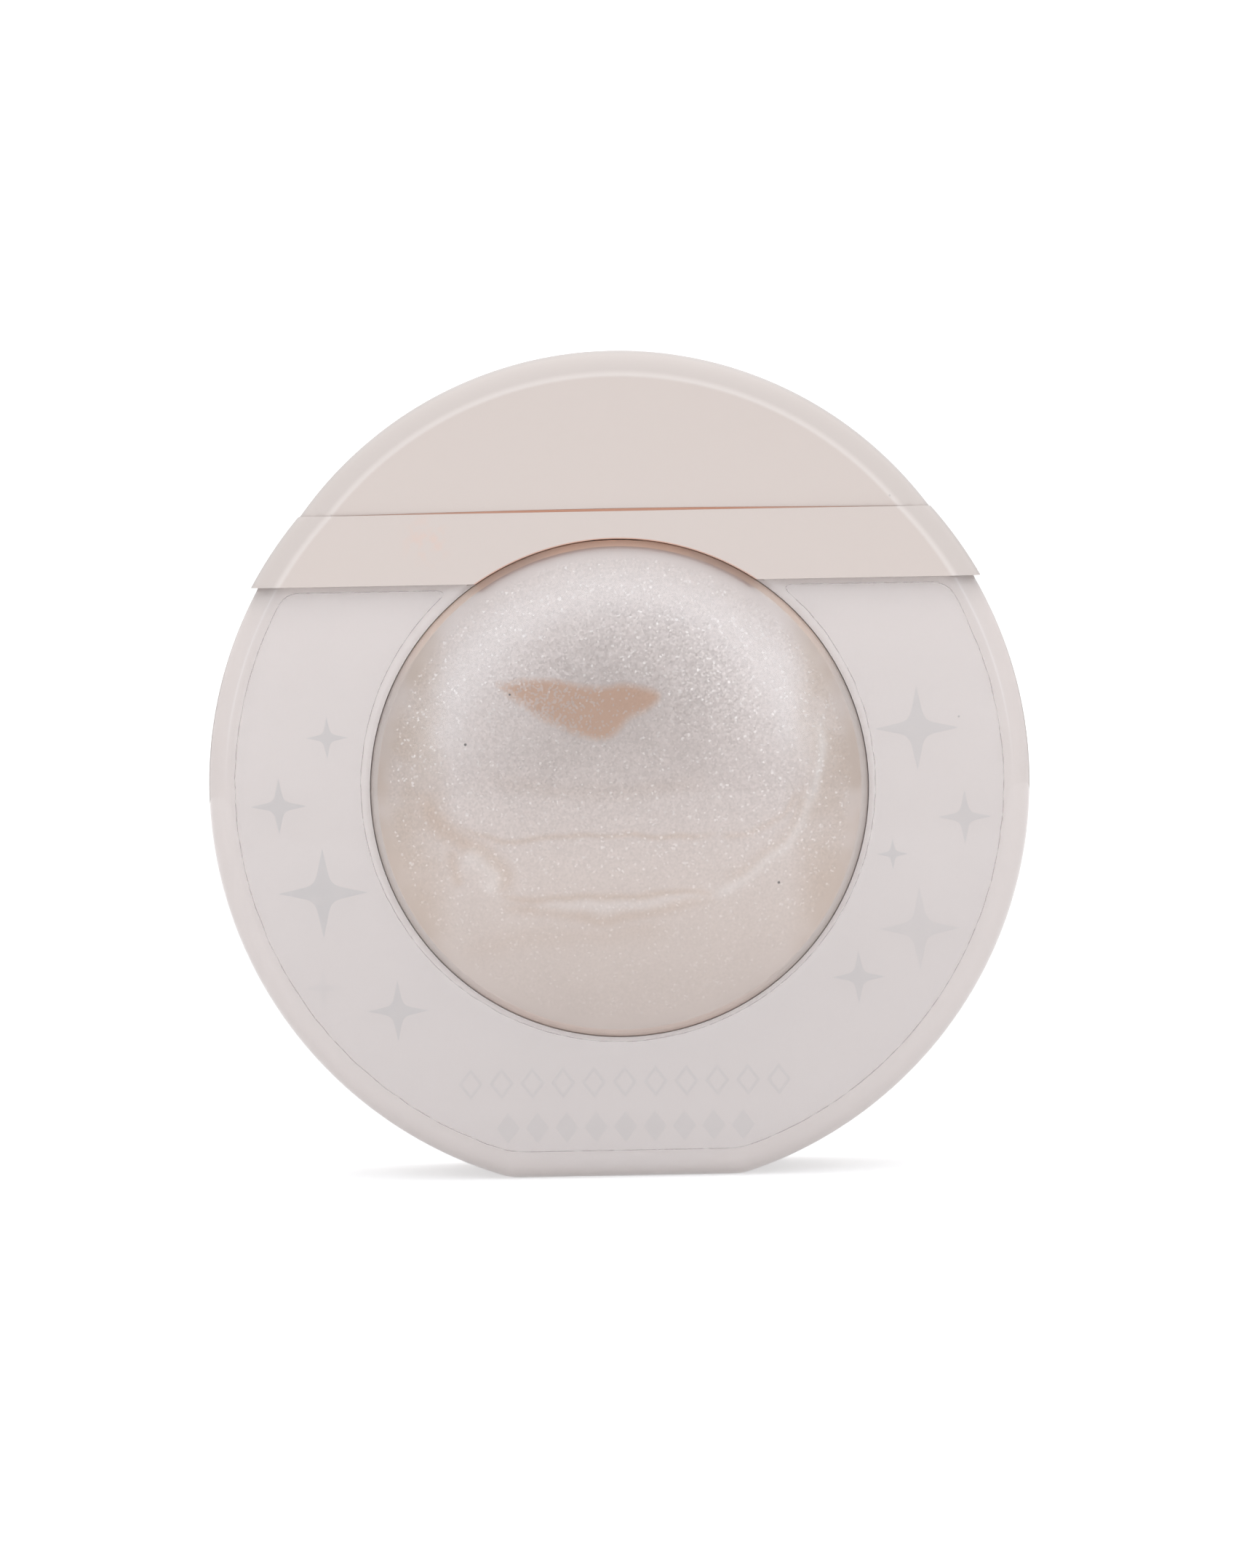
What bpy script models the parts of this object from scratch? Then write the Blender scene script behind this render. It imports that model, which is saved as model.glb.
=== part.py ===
"""Disc-shaped pack of liquid highlighter that stands on edge, with a pull-off cap over a sponge.

Metres, +Z up. The origin is the middle of the foot's flat underside, and the front faces -Y.
"""

from math import asin, cos, pi, sin

import bmesh
import bpy
from mathutils import Matrix

# Facets of a full turn: the big discs, the reservoir, and the small turned pieces
DISC_FACETS = 60
DOME_FACETS = 40
TURN_FACETS = 24

# Clear body: a disc on edge, cut flat at the foot, moulded in a front and a rear half
BODY_R = 0.0320
BODY_CENTRE_Z = 0.0307
BODY_HALF_DEPTH = 0.0085
BODY_WALL = 0.0012
EDGE_ROUND = 0.0020
FOOT_CORNER = 0.0012
HALVES_GAP = 0.0001
FIT = 0.0003

# Window and the domed reservoir behind it
WINDOW_CENTRE_Z = 0.03036
WINDOW_R = 0.0194
DOME_R = 0.01915
DOME_EDGE_Y = 0.0080
DOME_APEX_Y = 0.0120
DOME_WALL = 0.00055
FLANGE_R = 0.0215
FLANGE_THICKNESS = 0.0010
GASKET_THICKNESS = 0.0006
FLANGE_TOP_Z = 0.0496
FLUID_TOP_Z = 0.0480
FLUID_GAP = 0.0002

# Beige liner behind the clear wall
LINER_WALL = 0.0010
LINER_WINDOW_R = 0.0196
LINER_TOP_Z = 0.0487
BOSS_WALL = 0.0012

# Collar: fixed band over the liner's top, with a deck and two guide lugs for the cap
COLLAR_R = 0.0325
COLLAR_HALF_DEPTH = 0.0090
COLLAR_LOW_Z = 0.04642
COLLAR_TOP_Z = 0.0519
DECK_THICKNESS = 0.0012
LUG_TOP_Z = 0.0550
LUG_WALL = 0.0010
LUG_GAP_HALF_X = 0.0083

# Cap: its round side has its own centre, a little above the body's
CAP_R = 0.0303
CAP_CENTRE_Z = 0.0341
CAP_HALF_DEPTH = 0.0088
CAP_WALL = 0.0014
CAP_LOW_Z = COLLAR_TOP_Z + 0.00015
CAP_CLEARANCE = 0.0004

# Spout, seals, cup, sponge and sleeve, all turned about the vertical middle line
SPOUT_R = 0.0040
SPOUT_BORE_R = 0.0028
SPOUT_LOW_Z = 0.0483
SPOUT_FLANGE_R = 0.0052
SPOUT_FLANGE_THICKNESS = 0.0007
SPOUT_HOLE_R = SPOUT_R + 0.00025
SEAL_R = 0.0060
PLUG_LOW_Z = 0.0505
PLUG_FLANGE_R = 0.0036
PLUG_FLANGE_THICKNESS = 0.0005
ORIFICE_R = 0.0006
CUP_R = 0.0061
CUP_WALL = 0.0005
CUP_FLOOR_Z = 0.0533
CUP_FLOOR_THICKNESS = 0.0007
CUP_TOP_Z = 0.0560
SPONGE_R = 0.0059
SPONGE_TOP_Z = 0.0600
SLEEVE_R = 0.0071
SLEEVE_WALL = 0.0006
SLEEVE_LOW_Z = 0.0531
SLEEVE_TOP_Z = 0.0617

# Printed film on the flat faces
LABEL_R = 0.02985
LABEL_WINDOW_R = 0.02005
LABEL_LOW_Z = 0.0022
LABEL_TOP_Z = 0.04597
LABEL_THICKNESS = 0.0001
LABEL_GAP = 0.00005

MERGE = 0.00001
CLEAR_OF_ALL = 0.08

BEIGE = (0.70, 0.59, 0.55)
CLEAR = (0.90, 0.87, 0.86)
PEARL = (0.66, 0.54, 0.50)
WARM = (0.60, 0.42, 0.33)
RUBBER = (0.75, 0.72, 0.70)
SPONGE = (0.80, 0.68, 0.62)
FILM = (0.86, 0.83, 0.83)


def clear_scene():
    """Remove what a new file starts with."""
    for thing in list(bpy.data.objects):
        bpy.data.objects.remove(thing)


def collection(name):
    """A new collection in the scene."""
    made = bpy.data.collections.new(name)
    bpy.context.scene.collection.children.link(made)
    return made


def material(name, colour, roughness, transmission=0.0):
    """A Principled material in one plain colour."""
    made = bpy.data.materials.new(name)
    made.use_nodes = True
    shader = made.node_tree.nodes["Principled BSDF"]
    shader.inputs["Base Color"].default_value = (*colour, 1.0)
    shader.inputs["Roughness"].default_value = roughness
    shader.inputs["Metallic"].default_value = 0.0
    shader.inputs["Transmission Weight"].default_value = transmission
    return made


def new_object(name, bm, where):
    """An object from a bmesh, shaded smooth with its sharp edges kept."""
    bmesh.ops.recalc_face_normals(bm, faces=bm.faces)
    mesh = bpy.data.meshes.new(name)
    bm.to_mesh(mesh)
    bm.free()
    mesh.shade_smooth()
    mesh.set_sharp_from_angle(angle=pi / 6)
    made = bpy.data.objects.new(name, mesh)
    where.objects.link(made)
    return made


def as_tool(thing):
    """Mark an object that only cuts or joins others."""
    thing.hide_render = True
    thing.display_type = "WIRE"
    return thing


def boolean(thing, tool, operation="DIFFERENCE"):
    """Cut a tool from an object, or join it on."""
    step = thing.modifiers.new(f"{operation}_{tool.name}", "BOOLEAN")
    step.operation = operation
    step.solver = "EXACT"
    step.object = tool
    return thing


def slice_flat(bm, z, keep_above):
    """Cut a closed bmesh at a level, drop one side and close the cut."""
    cut = bmesh.ops.bisect_plane(
        bm,
        geom=bm.verts[:] + bm.edges[:] + bm.faces[:],
        plane_co=(0, 0, z),
        plane_no=(0, 0, -1 if keep_above else 1),
        clear_outer=True,
    )
    rim = [part for part in cut["geom_cut"] if isinstance(part, bmesh.types.BMEdge)]
    bmesh.ops.edgeloop_fill(bm, edges=rim)


def edges_at(bm, axis, value):
    """The edges whose two ends lie at one value of one axis."""
    return [
        edge for edge in bm.edges if all(abs(vert.co[axis] - value) < MERGE for vert in edge.verts)
    ]


def round_edges(bm, edges, size, segments=3):
    """Round some edges of a bmesh, and join the points that meet where there is less room than that."""
    bmesh.ops.bevel(
        bm, geom=edges, offset=size, offset_type="OFFSET", segments=segments, profile=0.5,
        affect="EDGES", clamp_overlap=True,
    )
    bmesh.ops.remove_doubles(bm, verts=bm.verts, dist=MERGE)


def disc(name, where, radius, centre_z, y_low, y_high, foot_z=None, low_z=None, high_z=None,
         round_low=0.0, round_high=0.0, facets=DISC_FACETS):
    """A disc that stands on edge, from y_low to y_high.

    foot_z cuts it before its edges are rounded, so that the foot is rounded too. low_z and high_z cut it
    afterwards.
    """
    bm = bmesh.new()
    bmesh.ops.create_cone(
        bm, cap_ends=True, segments=facets, radius1=radius, radius2=radius, depth=y_high - y_low,
    )
    bmesh.ops.rotate(bm, verts=bm.verts, matrix=Matrix.Rotation(pi / 2, 3, "X"))
    bmesh.ops.translate(bm, verts=bm.verts, vec=(0, (y_low + y_high) / 2, centre_z))
    if foot_z is not None:
        slice_flat(bm, foot_z, keep_above=True)
        sole = [face for face in bm.faces if all(abs(v.co.z - foot_z) < MERGE for v in face.verts)]
        corners = [
            edge for edge in sole[0].edges
            if abs(edge.verts[0].co.y - edge.verts[1].co.y) > MERGE
        ]
        round_edges(bm, corners, FOOT_CORNER, segments=2)
    if round_low:
        round_edges(bm, edges_at(bm, 1, y_low), round_low)
    if round_high:
        round_edges(bm, edges_at(bm, 1, y_high), round_high)
    if low_z is not None:
        slice_flat(bm, low_z, keep_above=True)
    if high_z is not None:
        slice_flat(bm, high_z, keep_above=False)
    return new_object(name, bm, where)


def box(name, where, low, high):
    """A box between two corners."""
    bm = bmesh.new()
    bmesh.ops.create_cube(bm, size=1.0)
    bmesh.ops.scale(bm, verts=bm.verts, vec=[b - a for a, b in zip(low, high)])
    bmesh.ops.translate(bm, verts=bm.verts, vec=[(a + b) / 2 for a, b in zip(low, high)])
    return new_object(name, bm, where)


def everything_above(name, where, z):
    """A tool that cuts away what is above a level."""
    reach = CLEAR_OF_ALL
    return as_tool(box(name, where, (-reach, -reach, z), (reach, reach, reach)))


def window_tool(name, where, radius, facets=DOME_FACETS):
    """A tool that cuts a round hole from front to back, about the window's centre."""
    return as_tool(disc(name, where, radius, WINDOW_CENTRE_Z, -CLEAR_OF_ALL, CLEAR_OF_ALL, facets=facets))


def turned(name, where, profile, facets=TURN_FACETS, closed=True):
    """A profile of (radius, height) turned about Z, its outer side running from the top down."""
    mesh = bpy.data.meshes.new(name)
    count = len(profile)
    edges = [(i, i + 1) for i in range(count - 1)]
    if closed:
        edges.append((count - 1, 0))
    mesh.from_pydata([(radius, 0, height) for radius, height in profile], edges, [])
    made = bpy.data.objects.new(name, mesh)
    where.objects.link(made)
    screw = made.modifiers.new("turn", "SCREW")
    screw.steps = facets
    screw.render_steps = facets
    screw.use_merge_vertices = True
    screw.merge_threshold = MERGE
    screw.use_smooth_shade = True
    return made


def stand_on_edge(thing):
    """Lay a turned piece's own axis from back to front, through the window's centre."""
    thing.rotation_euler = (pi / 2, 0, 0)
    thing.location = (0, 0, WINDOW_CENTRE_Z)
    return thing


def turn_to_rear(thing):
    """Turn a front piece half round, so that it faces backwards."""
    thing.rotation_euler.z = pi
    return thing


def dome_arc(edge_radius, edge_height, apex_height, steps=5):
    """Points of a round cap from its apex on the axis to its edge."""
    rise = apex_height - edge_height
    sphere_r = (edge_radius**2 + rise**2) / (2 * rise)
    spread = asin(edge_radius / sphere_r)
    return [
        (sphere_r * sin(spread * i / steps), apex_height - sphere_r * (1 - cos(spread * i / steps)))
        for i in range(steps + 1)
    ]


def body_disc(name, where, inset, y_low, y_high, rounding, rounded_high=False, **cuts):
    """A disc with the body's outline moved inwards, its edges rounded at the front or on both sides."""
    return disc(
        name, where, BODY_R - inset, BODY_CENTRE_Z, y_low, y_high, foot_z=inset, round_low=rounding,
        round_high=rounding if rounded_high else 0.0, **cuts,
    )


def make_shells(parts, tools, window):
    """Two clear half shells, open at the top and at the window."""
    wall = BODY_WALL
    hollow = as_tool(body_disc(
        "shell_hollow", tools, wall, wall - BODY_HALF_DEPTH, BODY_HALF_DEPTH - wall, EDGE_ROUND - wall,
        rounded_high=True,
    ))
    look = material("clear_shell", CLEAR, 0.05, transmission=1.0)
    for name in ("front_shell", "rear_shell"):
        shell = body_disc(
            name, parts, 0.0, -BODY_HALF_DEPTH, -HALVES_GAP / 2, EDGE_ROUND,
            high_z=COLLAR_LOW_Z - HALVES_GAP,
        )
        shell.data.materials.append(look.copy())
        boolean(shell, hollow)
        boolean(shell, window)
        if name.startswith("rear"):
            turn_to_rear(shell)


def make_liners(parts, tools):
    """Two beige mouldings inside the shells, each with a ring-shaped boss that presses on the reservoir."""
    inset = BODY_WALL + FIT
    front_y = -(BODY_HALF_DEPTH - inset)
    hollow_inset = inset + LINER_WALL
    hollow_y = BODY_HALF_DEPTH - hollow_inset
    hollow = as_tool(body_disc("liner_hollow", tools, hollow_inset, -hollow_y, hollow_y, 0.0))
    boss_y = -(FLANGE_THICKNESS + GASKET_THICKNESS / 2 + HALVES_GAP + FIT)
    opening = window_tool("liner_window", tools, LINER_WINDOW_R)
    above = everything_above("above_liner", tools, LINER_TOP_Z)
    look = material("beige_liner", BEIGE, 0.4)
    for name in ("front_liner", "rear_liner"):
        liner = body_disc(name, parts, inset, front_y, -HALVES_GAP / 2, EDGE_ROUND - inset)
        boss = as_tool(disc(
            name + "_boss", tools, LINER_WINDOW_R + BOSS_WALL, WINDOW_CENTRE_Z, front_y + LINER_WALL / 2,
            boss_y, facets=DOME_FACETS,
        ))
        liner.data.materials.append(look.copy())
        boolean(liner, hollow)
        if name.startswith("rear"):
            turn_to_rear(liner)
            boss.rotation_euler.z = pi
        boolean(liner, boss, "UNION")
        boolean(liner, opening)
        boolean(liner, above)


def make_reservoir(parts, tools, spout_hole):
    """Two clear domed halves with flanges, the flat gasket between them, and the fluid."""
    above = everything_above("above_flange", tools, FLANGE_TOP_Z)
    flange_back = GASKET_THICKNESS / 2 + HALVES_GAP
    flange_front = flange_back + FLANGE_THICKNESS
    inner_r = DOME_R - DOME_WALL
    outer = dome_arc(DOME_R, DOME_EDGE_Y, DOME_APEX_Y)
    inner = dome_arc(inner_r, DOME_EDGE_Y - DOME_WALL, DOME_APEX_Y - DOME_WALL)
    profile = outer + [(DOME_R, flange_front), (FLANGE_R, flange_front), (FLANGE_R, flange_back),
                       (inner_r, flange_back)] + inner[::-1]
    look = material("clear_reservoir", CLEAR, 0.03, transmission=1.0)
    for name in ("reservoir_front", "reservoir_rear"):
        half = stand_on_edge(turned(name, parts, profile, DOME_FACETS, closed=False))
        half.data.materials.append(look.copy())
        if name.endswith("rear"):
            turn_to_rear(half)
        boolean(half, spout_hole)
        boolean(half, above)

    ring = [(FLANGE_R, GASKET_THICKNESS / 2), (FLANGE_R, -GASKET_THICKNESS / 2),
            (DOME_R, -GASKET_THICKNESS / 2), (DOME_R, GASKET_THICKNESS / 2)]
    gasket = stand_on_edge(turned("reservoir_gasket", parts, ring, DOME_FACETS))
    gasket.data.materials.append(material("gasket_rubber", RUBBER, 0.6))
    boolean(gasket, spout_hole)
    boolean(gasket, above)

    fill = dome_arc(
        inner_r - FLUID_GAP, DOME_EDGE_Y - DOME_WALL - FLUID_GAP / 2, DOME_APEX_Y - DOME_WALL - FLUID_GAP,
    )
    fluid_profile = fill + [(radius, -height) for radius, height in fill[::-1]]
    fluid = stand_on_edge(turned("highlighter_fluid", parts, fluid_profile, DOME_FACETS, closed=False))
    fluid.data.materials.append(material("pearl_fluid", PEARL, 0.3))
    boolean(fluid, everything_above("above_fluid", tools, FLUID_TOP_Z))


def make_collar(parts, tools, window, spout_hole):
    """The fixed band with its deck, arch over each window, and guide lugs that the cap slides on."""
    collar = disc(
        "collar", parts, COLLAR_R, BODY_CENTRE_Z, -COLLAR_HALF_DEPTH, COLLAR_HALF_DEPTH, low_z=COLLAR_LOW_Z,
        high_z=COLLAR_TOP_Z, round_low=EDGE_ROUND, round_high=EDGE_ROUND,
    )
    hollow_y = BODY_HALF_DEPTH - BODY_WALL
    hollow = as_tool(disc(
        "collar_hollow", tools, BODY_R - BODY_WALL, BODY_CENTRE_Z, -hollow_y, hollow_y,
        high_z=COLLAR_TOP_Z - DECK_THICKNESS,
    ))
    inset = CAP_WALL + CAP_CLEARANCE
    lug_y = CAP_HALF_DEPTH - inset
    lugs = as_tool(disc(
        "guide_lugs", tools, CAP_R - inset, CAP_CENTRE_Z, -lug_y, lug_y,
        low_z=COLLAR_TOP_Z - DECK_THICKNESS / 2, high_z=LUG_TOP_Z,
    ))
    lug_hollow = as_tool(disc(
        "lug_hollow", tools, CAP_R - inset - LUG_WALL, CAP_CENTRE_Z, LUG_WALL - lug_y, lug_y - LUG_WALL,
    ))
    gap = as_tool(box(
        "lug_gap", tools, (-LUG_GAP_HALF_X, -CLEAR_OF_ALL, 0), (LUG_GAP_HALF_X, CLEAR_OF_ALL, CLEAR_OF_ALL),
    ))
    boolean(lugs, lug_hollow)
    boolean(lugs, gap)
    boolean(collar, hollow)
    boolean(collar, lugs, "UNION")
    boolean(collar, window)
    boolean(collar, spout_hole)
    collar.data.materials.append(material("beige_collar", BEIGE, 0.35))


def make_spout(parts):
    """The neck tube, its seal under the deck and the reducer in its mouth."""
    flange_low = COLLAR_TOP_Z + FIT / 2
    top = flange_low + SPOUT_FLANGE_THICKNESS
    spout = turned("spout", parts, [
        (SPOUT_FLANGE_R, top), (SPOUT_FLANGE_R, flange_low), (SPOUT_R, flange_low), (SPOUT_R, SPOUT_LOW_Z),
        (SPOUT_BORE_R, SPOUT_LOW_Z), (SPOUT_BORE_R, top),
    ])
    spout.data.materials.append(material("spout_plastic", CLEAR, 0.3))

    seal_low = WINDOW_CENTRE_Z + DOME_R + FIT
    seal_high = COLLAR_TOP_Z - DECK_THICKNESS - FIT / 2
    seal = turned("spout_seal", parts, [
        (SEAL_R, seal_high), (SEAL_R, seal_low), (SPOUT_HOLE_R, seal_low), (SPOUT_HOLE_R, seal_high),
    ])
    seal.data.materials.append(material("seal_rubber", RUBBER, 0.6))

    plug_low = top + FIT / 2
    plug_top = plug_low + PLUG_FLANGE_THICKNESS
    stem_r = SPOUT_BORE_R - FIT
    plug = turned("orifice_plug", parts, [
        (PLUG_FLANGE_R, plug_top), (PLUG_FLANGE_R, plug_low), (stem_r, plug_low), (stem_r, PLUG_LOW_Z),
        (ORIFICE_R, PLUG_LOW_Z), (ORIFICE_R, plug_top),
    ])
    plug.data.materials.append(material("plug_plastic", CLEAR, 0.3))


def make_applicator(parts):
    """The cup on the deck and the domed sponge in it."""
    floor_top = CUP_FLOOR_Z + CUP_FLOOR_THICKNESS
    foot_z = COLLAR_TOP_Z + FIT / 2
    inner_r = CUP_R - CUP_WALL
    hole_r = PLUG_FLANGE_R + FIT
    cup = turned("sponge_cup", parts, [
        (CUP_R, CUP_TOP_Z), (CUP_R, foot_z), (inner_r, foot_z), (inner_r, CUP_FLOOR_Z),
        (hole_r, CUP_FLOOR_Z), (hole_r, floor_top), (inner_r, floor_top), (inner_r, CUP_TOP_Z),
    ])
    cup.data.materials.append(material("cup_plastic", WARM, 0.4))

    stem_r = inner_r - FIT
    low = floor_top + FIT / 2
    shoulder = CUP_TOP_Z + FIT
    equator = shoulder + (SPONGE_TOP_Z - shoulder) / 4
    dome = dome_arc(SPONGE_R, equator, SPONGE_TOP_Z, steps=7)
    stem = [(SPONGE_R, shoulder), (stem_r, shoulder), (stem_r, low), (0, low)]
    sponge = turned("applicator_sponge", parts, dome + stem, closed=False)
    sponge.data.materials.append(material("sponge_foam", SPONGE, 0.9))


def make_cap(parts, tools, lift):
    """The cap's shell, the sleeve that closes round the sponge, and the ring at the sleeve's end."""
    shell = disc(
        "cap_shell", parts, CAP_R, CAP_CENTRE_Z, -CAP_HALF_DEPTH, CAP_HALF_DEPTH, low_z=CAP_LOW_Z,
        round_low=EDGE_ROUND, round_high=EDGE_ROUND,
    )
    hollow_y = CAP_HALF_DEPTH - CAP_WALL
    inner_round = EDGE_ROUND - CAP_WALL
    hollow = as_tool(disc(
        "cap_hollow", tools, CAP_R - CAP_WALL, CAP_CENTRE_Z, -hollow_y, hollow_y, round_low=inner_round,
        round_high=inner_round,
    ))
    boolean(shell, hollow)
    shell.data.materials.append(material("beige_cap", BEIGE, 0.35))

    inner_r = SLEEVE_R - SLEEVE_WALL
    ceiling = SLEEVE_TOP_Z - SLEEVE_WALL
    sleeve = turned("cap_sleeve", parts, [
        (0, SLEEVE_TOP_Z), (SLEEVE_R, SLEEVE_TOP_Z), (SLEEVE_R, SLEEVE_LOW_Z), (inner_r, SLEEVE_LOW_Z),
        (inner_r, ceiling), (0, ceiling),
    ], closed=False)
    sleeve.data.materials.append(material("sleeve_plastic", CLEAR, 0.35))

    ring_top = SLEEVE_LOW_Z - FIT / 2
    ring = turned("cap_gasket", parts, [
        (SLEEVE_R, ring_top), (SLEEVE_R, CAP_LOW_Z), (inner_r, CAP_LOW_Z), (inner_r, ring_top),
    ])
    ring.data.materials.append(material("cap_gasket_rubber", RUBBER, 0.6))

    for piece in (shell, sleeve, ring):
        piece.parent = lift
        piece.matrix_parent_inverse = Matrix.Translation(lift.location).inverted()


def make_labels(parts, tools):
    """The C-shaped clear films on the front and rear faces."""
    opening = window_tool("label_window", tools, LABEL_WINDOW_R, DISC_FACETS)
    back = -BODY_HALF_DEPTH - LABEL_GAP
    look = material("label_film", FILM, 0.2, transmission=1.0)
    for name in ("front_label", "rear_label"):
        label = disc(
            name, parts, LABEL_R, BODY_CENTRE_Z, back - LABEL_THICKNESS, back, low_z=LABEL_LOW_Z,
            high_z=LABEL_TOP_Z,
        )
        label.data.materials.append(look.copy())
        boolean(label, opening)
        if name.startswith("rear"):
            turn_to_rear(label)


def main():
    clear_scene()
    parts = collection("highlighter_pack")
    tools = collection("tools")

    lift = bpy.data.objects.new("cap_lift_axis", None)
    lift.location = (0, 0, CAP_LOW_Z)
    parts.objects.link(lift)

    window = window_tool("window", tools, WINDOW_R)
    spout_hole = as_tool(turned("spout_hole", tools, [
        (0, LUG_TOP_Z), (SPOUT_HOLE_R, LUG_TOP_Z), (SPOUT_HOLE_R, BODY_CENTRE_Z), (0, BODY_CENTRE_Z),
    ], closed=False))

    make_shells(parts, tools, window)
    make_liners(parts, tools)
    make_reservoir(parts, tools, spout_hole)
    make_collar(parts, tools, window, spout_hole)
    make_spout(parts)
    make_applicator(parts)
    make_cap(parts, tools, lift)
    make_labels(parts, tools)


main()
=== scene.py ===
"""Looks of the standing disc pack of liquid highlighter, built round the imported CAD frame.

Metres, +Z up; the front faces -Y. The pieces that show are made here in mesh code and take their places from
the frame; five small inner ones keep the frame's solids and get better materials.
"""

import math

import bmesh
import bpy
import numpy as np
from mathutils import Matrix, Vector, noise


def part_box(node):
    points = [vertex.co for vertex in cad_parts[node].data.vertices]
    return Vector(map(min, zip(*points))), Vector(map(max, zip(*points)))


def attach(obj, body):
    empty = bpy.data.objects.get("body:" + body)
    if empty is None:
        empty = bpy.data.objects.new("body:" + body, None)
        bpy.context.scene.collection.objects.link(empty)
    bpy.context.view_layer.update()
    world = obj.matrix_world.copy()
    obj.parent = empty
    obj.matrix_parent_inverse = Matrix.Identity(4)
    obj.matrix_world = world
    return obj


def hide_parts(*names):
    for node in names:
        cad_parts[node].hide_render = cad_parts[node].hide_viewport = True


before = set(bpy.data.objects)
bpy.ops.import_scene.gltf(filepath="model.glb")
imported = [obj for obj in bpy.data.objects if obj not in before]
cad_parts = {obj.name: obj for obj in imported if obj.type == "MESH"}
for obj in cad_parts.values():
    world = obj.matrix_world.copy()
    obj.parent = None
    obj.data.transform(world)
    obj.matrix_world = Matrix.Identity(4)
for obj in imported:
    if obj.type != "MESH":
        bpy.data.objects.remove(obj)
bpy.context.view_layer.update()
noise.seed_set(7)      # noise_vector would otherwise start from the clock and differ from run to run

MM = 0.001

# ---------------------------------------------------------------- sizes, from the frame where it has them
SHELL_LOW, SHELL_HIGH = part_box("front_shell")
LINER_BACK_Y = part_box("front_liner")[1].y
DOME_LOW, DOME_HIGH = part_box("reservoir_front")
COLLAR_LOW, COLLAR_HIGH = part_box("collar")
CAP_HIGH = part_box("cap_shell")[1]
SLEEVE_LOW, SLEEVE_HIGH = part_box("cap_sleeve")
CUP_LOW, CUP_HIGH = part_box("sponge_cup")
SPONGE_LOW, SPONGE_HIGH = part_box("applicator_sponge")
LABEL_LOW, LABEL_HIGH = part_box("front_label")

BODY_R = SHELL_HIGH.x
LABEL_R = LABEL_HIGH.x
BODY_CENTRE_Z = 30.7 * MM
BODY_WALL = 0.4 * MM
EDGE_ROUND = 2.0 * MM
SHELL_BREAK, COLLAR_BREAK, CAP_BREAK = 0.08 * MM, 0.02 * MM, 0.015 * MM      # how far sharp edges are broken
FOOT_FILLET = 4.0 * MM
WINDOW_CENTRE_Z = 30.36 * MM
WINDOW_R = 19.4 * MM
WINDOW_BEVEL = 0.35 * MM
BOND = 0.02 * MM      # how far a bonded piece reaches into the clear one, so that no air shows between them

LINER_WALL = 2.1 * MM
LINER_ROUND = 1.7 * MM
LINER_INNER_ROUND = 0.4 * MM
BOSS_WALL = 1.2 * MM
BOSS_END_Y = -1.7 * MM
REVEAL_END_Y = 6.15 * MM

DOME_R = 19.37 * MM
DOME_SPHERE_R = 47.8 * MM
DOME_SHOULDER = 0.10 * MM
DOME_APEX_Y = -DOME_LOW.y
DOME_WALL = 0.7 * MM
FLUID_UNDER = 0.05 * MM
FLANGE_R = DOME_HIGH.x
FLANGE_FRONT_Y = 1.4 * MM
FLANGE_BACK_Y = -DOME_HIGH.y
FLANGE_TOP_Z = 49.6 * MM

COLLAR_R = 32.5 * MM
COLLAR_TOP_Z = 51.9 * MM
DECK_THICKNESS = 1.2 * MM
LUG_TOP_Z = COLLAR_HIGH.z
LUG_WALL = 1.0 * MM
LUG_GAP_HALF_X = 8.3 * MM
SPOUT_HOLE_R = 4.25 * MM
BORE_TOP_Z, DOME_BORE_Z, COLLAR_BORE_Z = 60 * MM, 40 * MM, 45 * MM
LUG_ROUND = 0.5 * MM
REVEAL_WALL, REVEAL_OVERLAP = 1.0 * MM, 0.5 * MM

CAP_CENTRE_Z = 34.1 * MM
CAP_R = CAP_HIGH.z - CAP_CENTRE_Z
CAP_WALL = 1.4 * MM
CAP_CLEARANCE = 0.4 * MM
CREASE = 20            # degrees that a moulded edge turns at the flat face before it rounds off
CREASE_BLEND = 0.35 * MM
EDGE_WIDTH = 1.95 * MM
# The cap's lower edge and the lip behind it, over the collar's top
SEAM_AT_ENDS, SEAM_AT_MIDDLE = -0.008 * MM, 0.22 * MM
LIP_AT_ENDS, LIP_SHORT = 0.02 * MM, 0.01 * MM
LIP_INSET, LIP_WALL = 0.04 * MM, 0.50 * MM
LIP_CUT = 0.2 * MM
SMUDGE_X, SMUDGE_Z, SMUDGE_R = -14.6 * MM, 49.9 * MM, 2.6 * MM

CUP_WALL = 0.5 * MM
CUP_FLOOR_Z, CUP_FLOOR_TOP_Z, CUP_HOLE_R = 53.3 * MM, 54.0 * MM, 3.9 * MM
SLEEVE_WALL = 0.6 * MM

LABEL_WINDOW_R = 19.98 * MM
LABEL_CORNER = 1.1 * MM
LABEL_SLIP_X, LABEL_SLIP_Z = -0.10 * MM, 0.28 * MM      # the film was laid a little off the window's centre
EDGE_BEAD = 0.035 * MM
INK_OFF, INK_THICKNESS = 0.004 * MM, 0.01 * MM

AROUND = 256          # points round a big outline
ROUND_STEPS = 7       # steps in a rounded edge
TURN_STEPS = 96       # steps round a small turned piece
WAY_OFF = 80 * MM     # past everything, for tools that cut right through


# ---------------------------------------------------------------- mesh helpers
def add_object(name, data):
    """A new object in the scene."""
    made = bpy.data.objects.new(name, data)
    bpy.context.scene.collection.objects.link(made)
    return made


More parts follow.
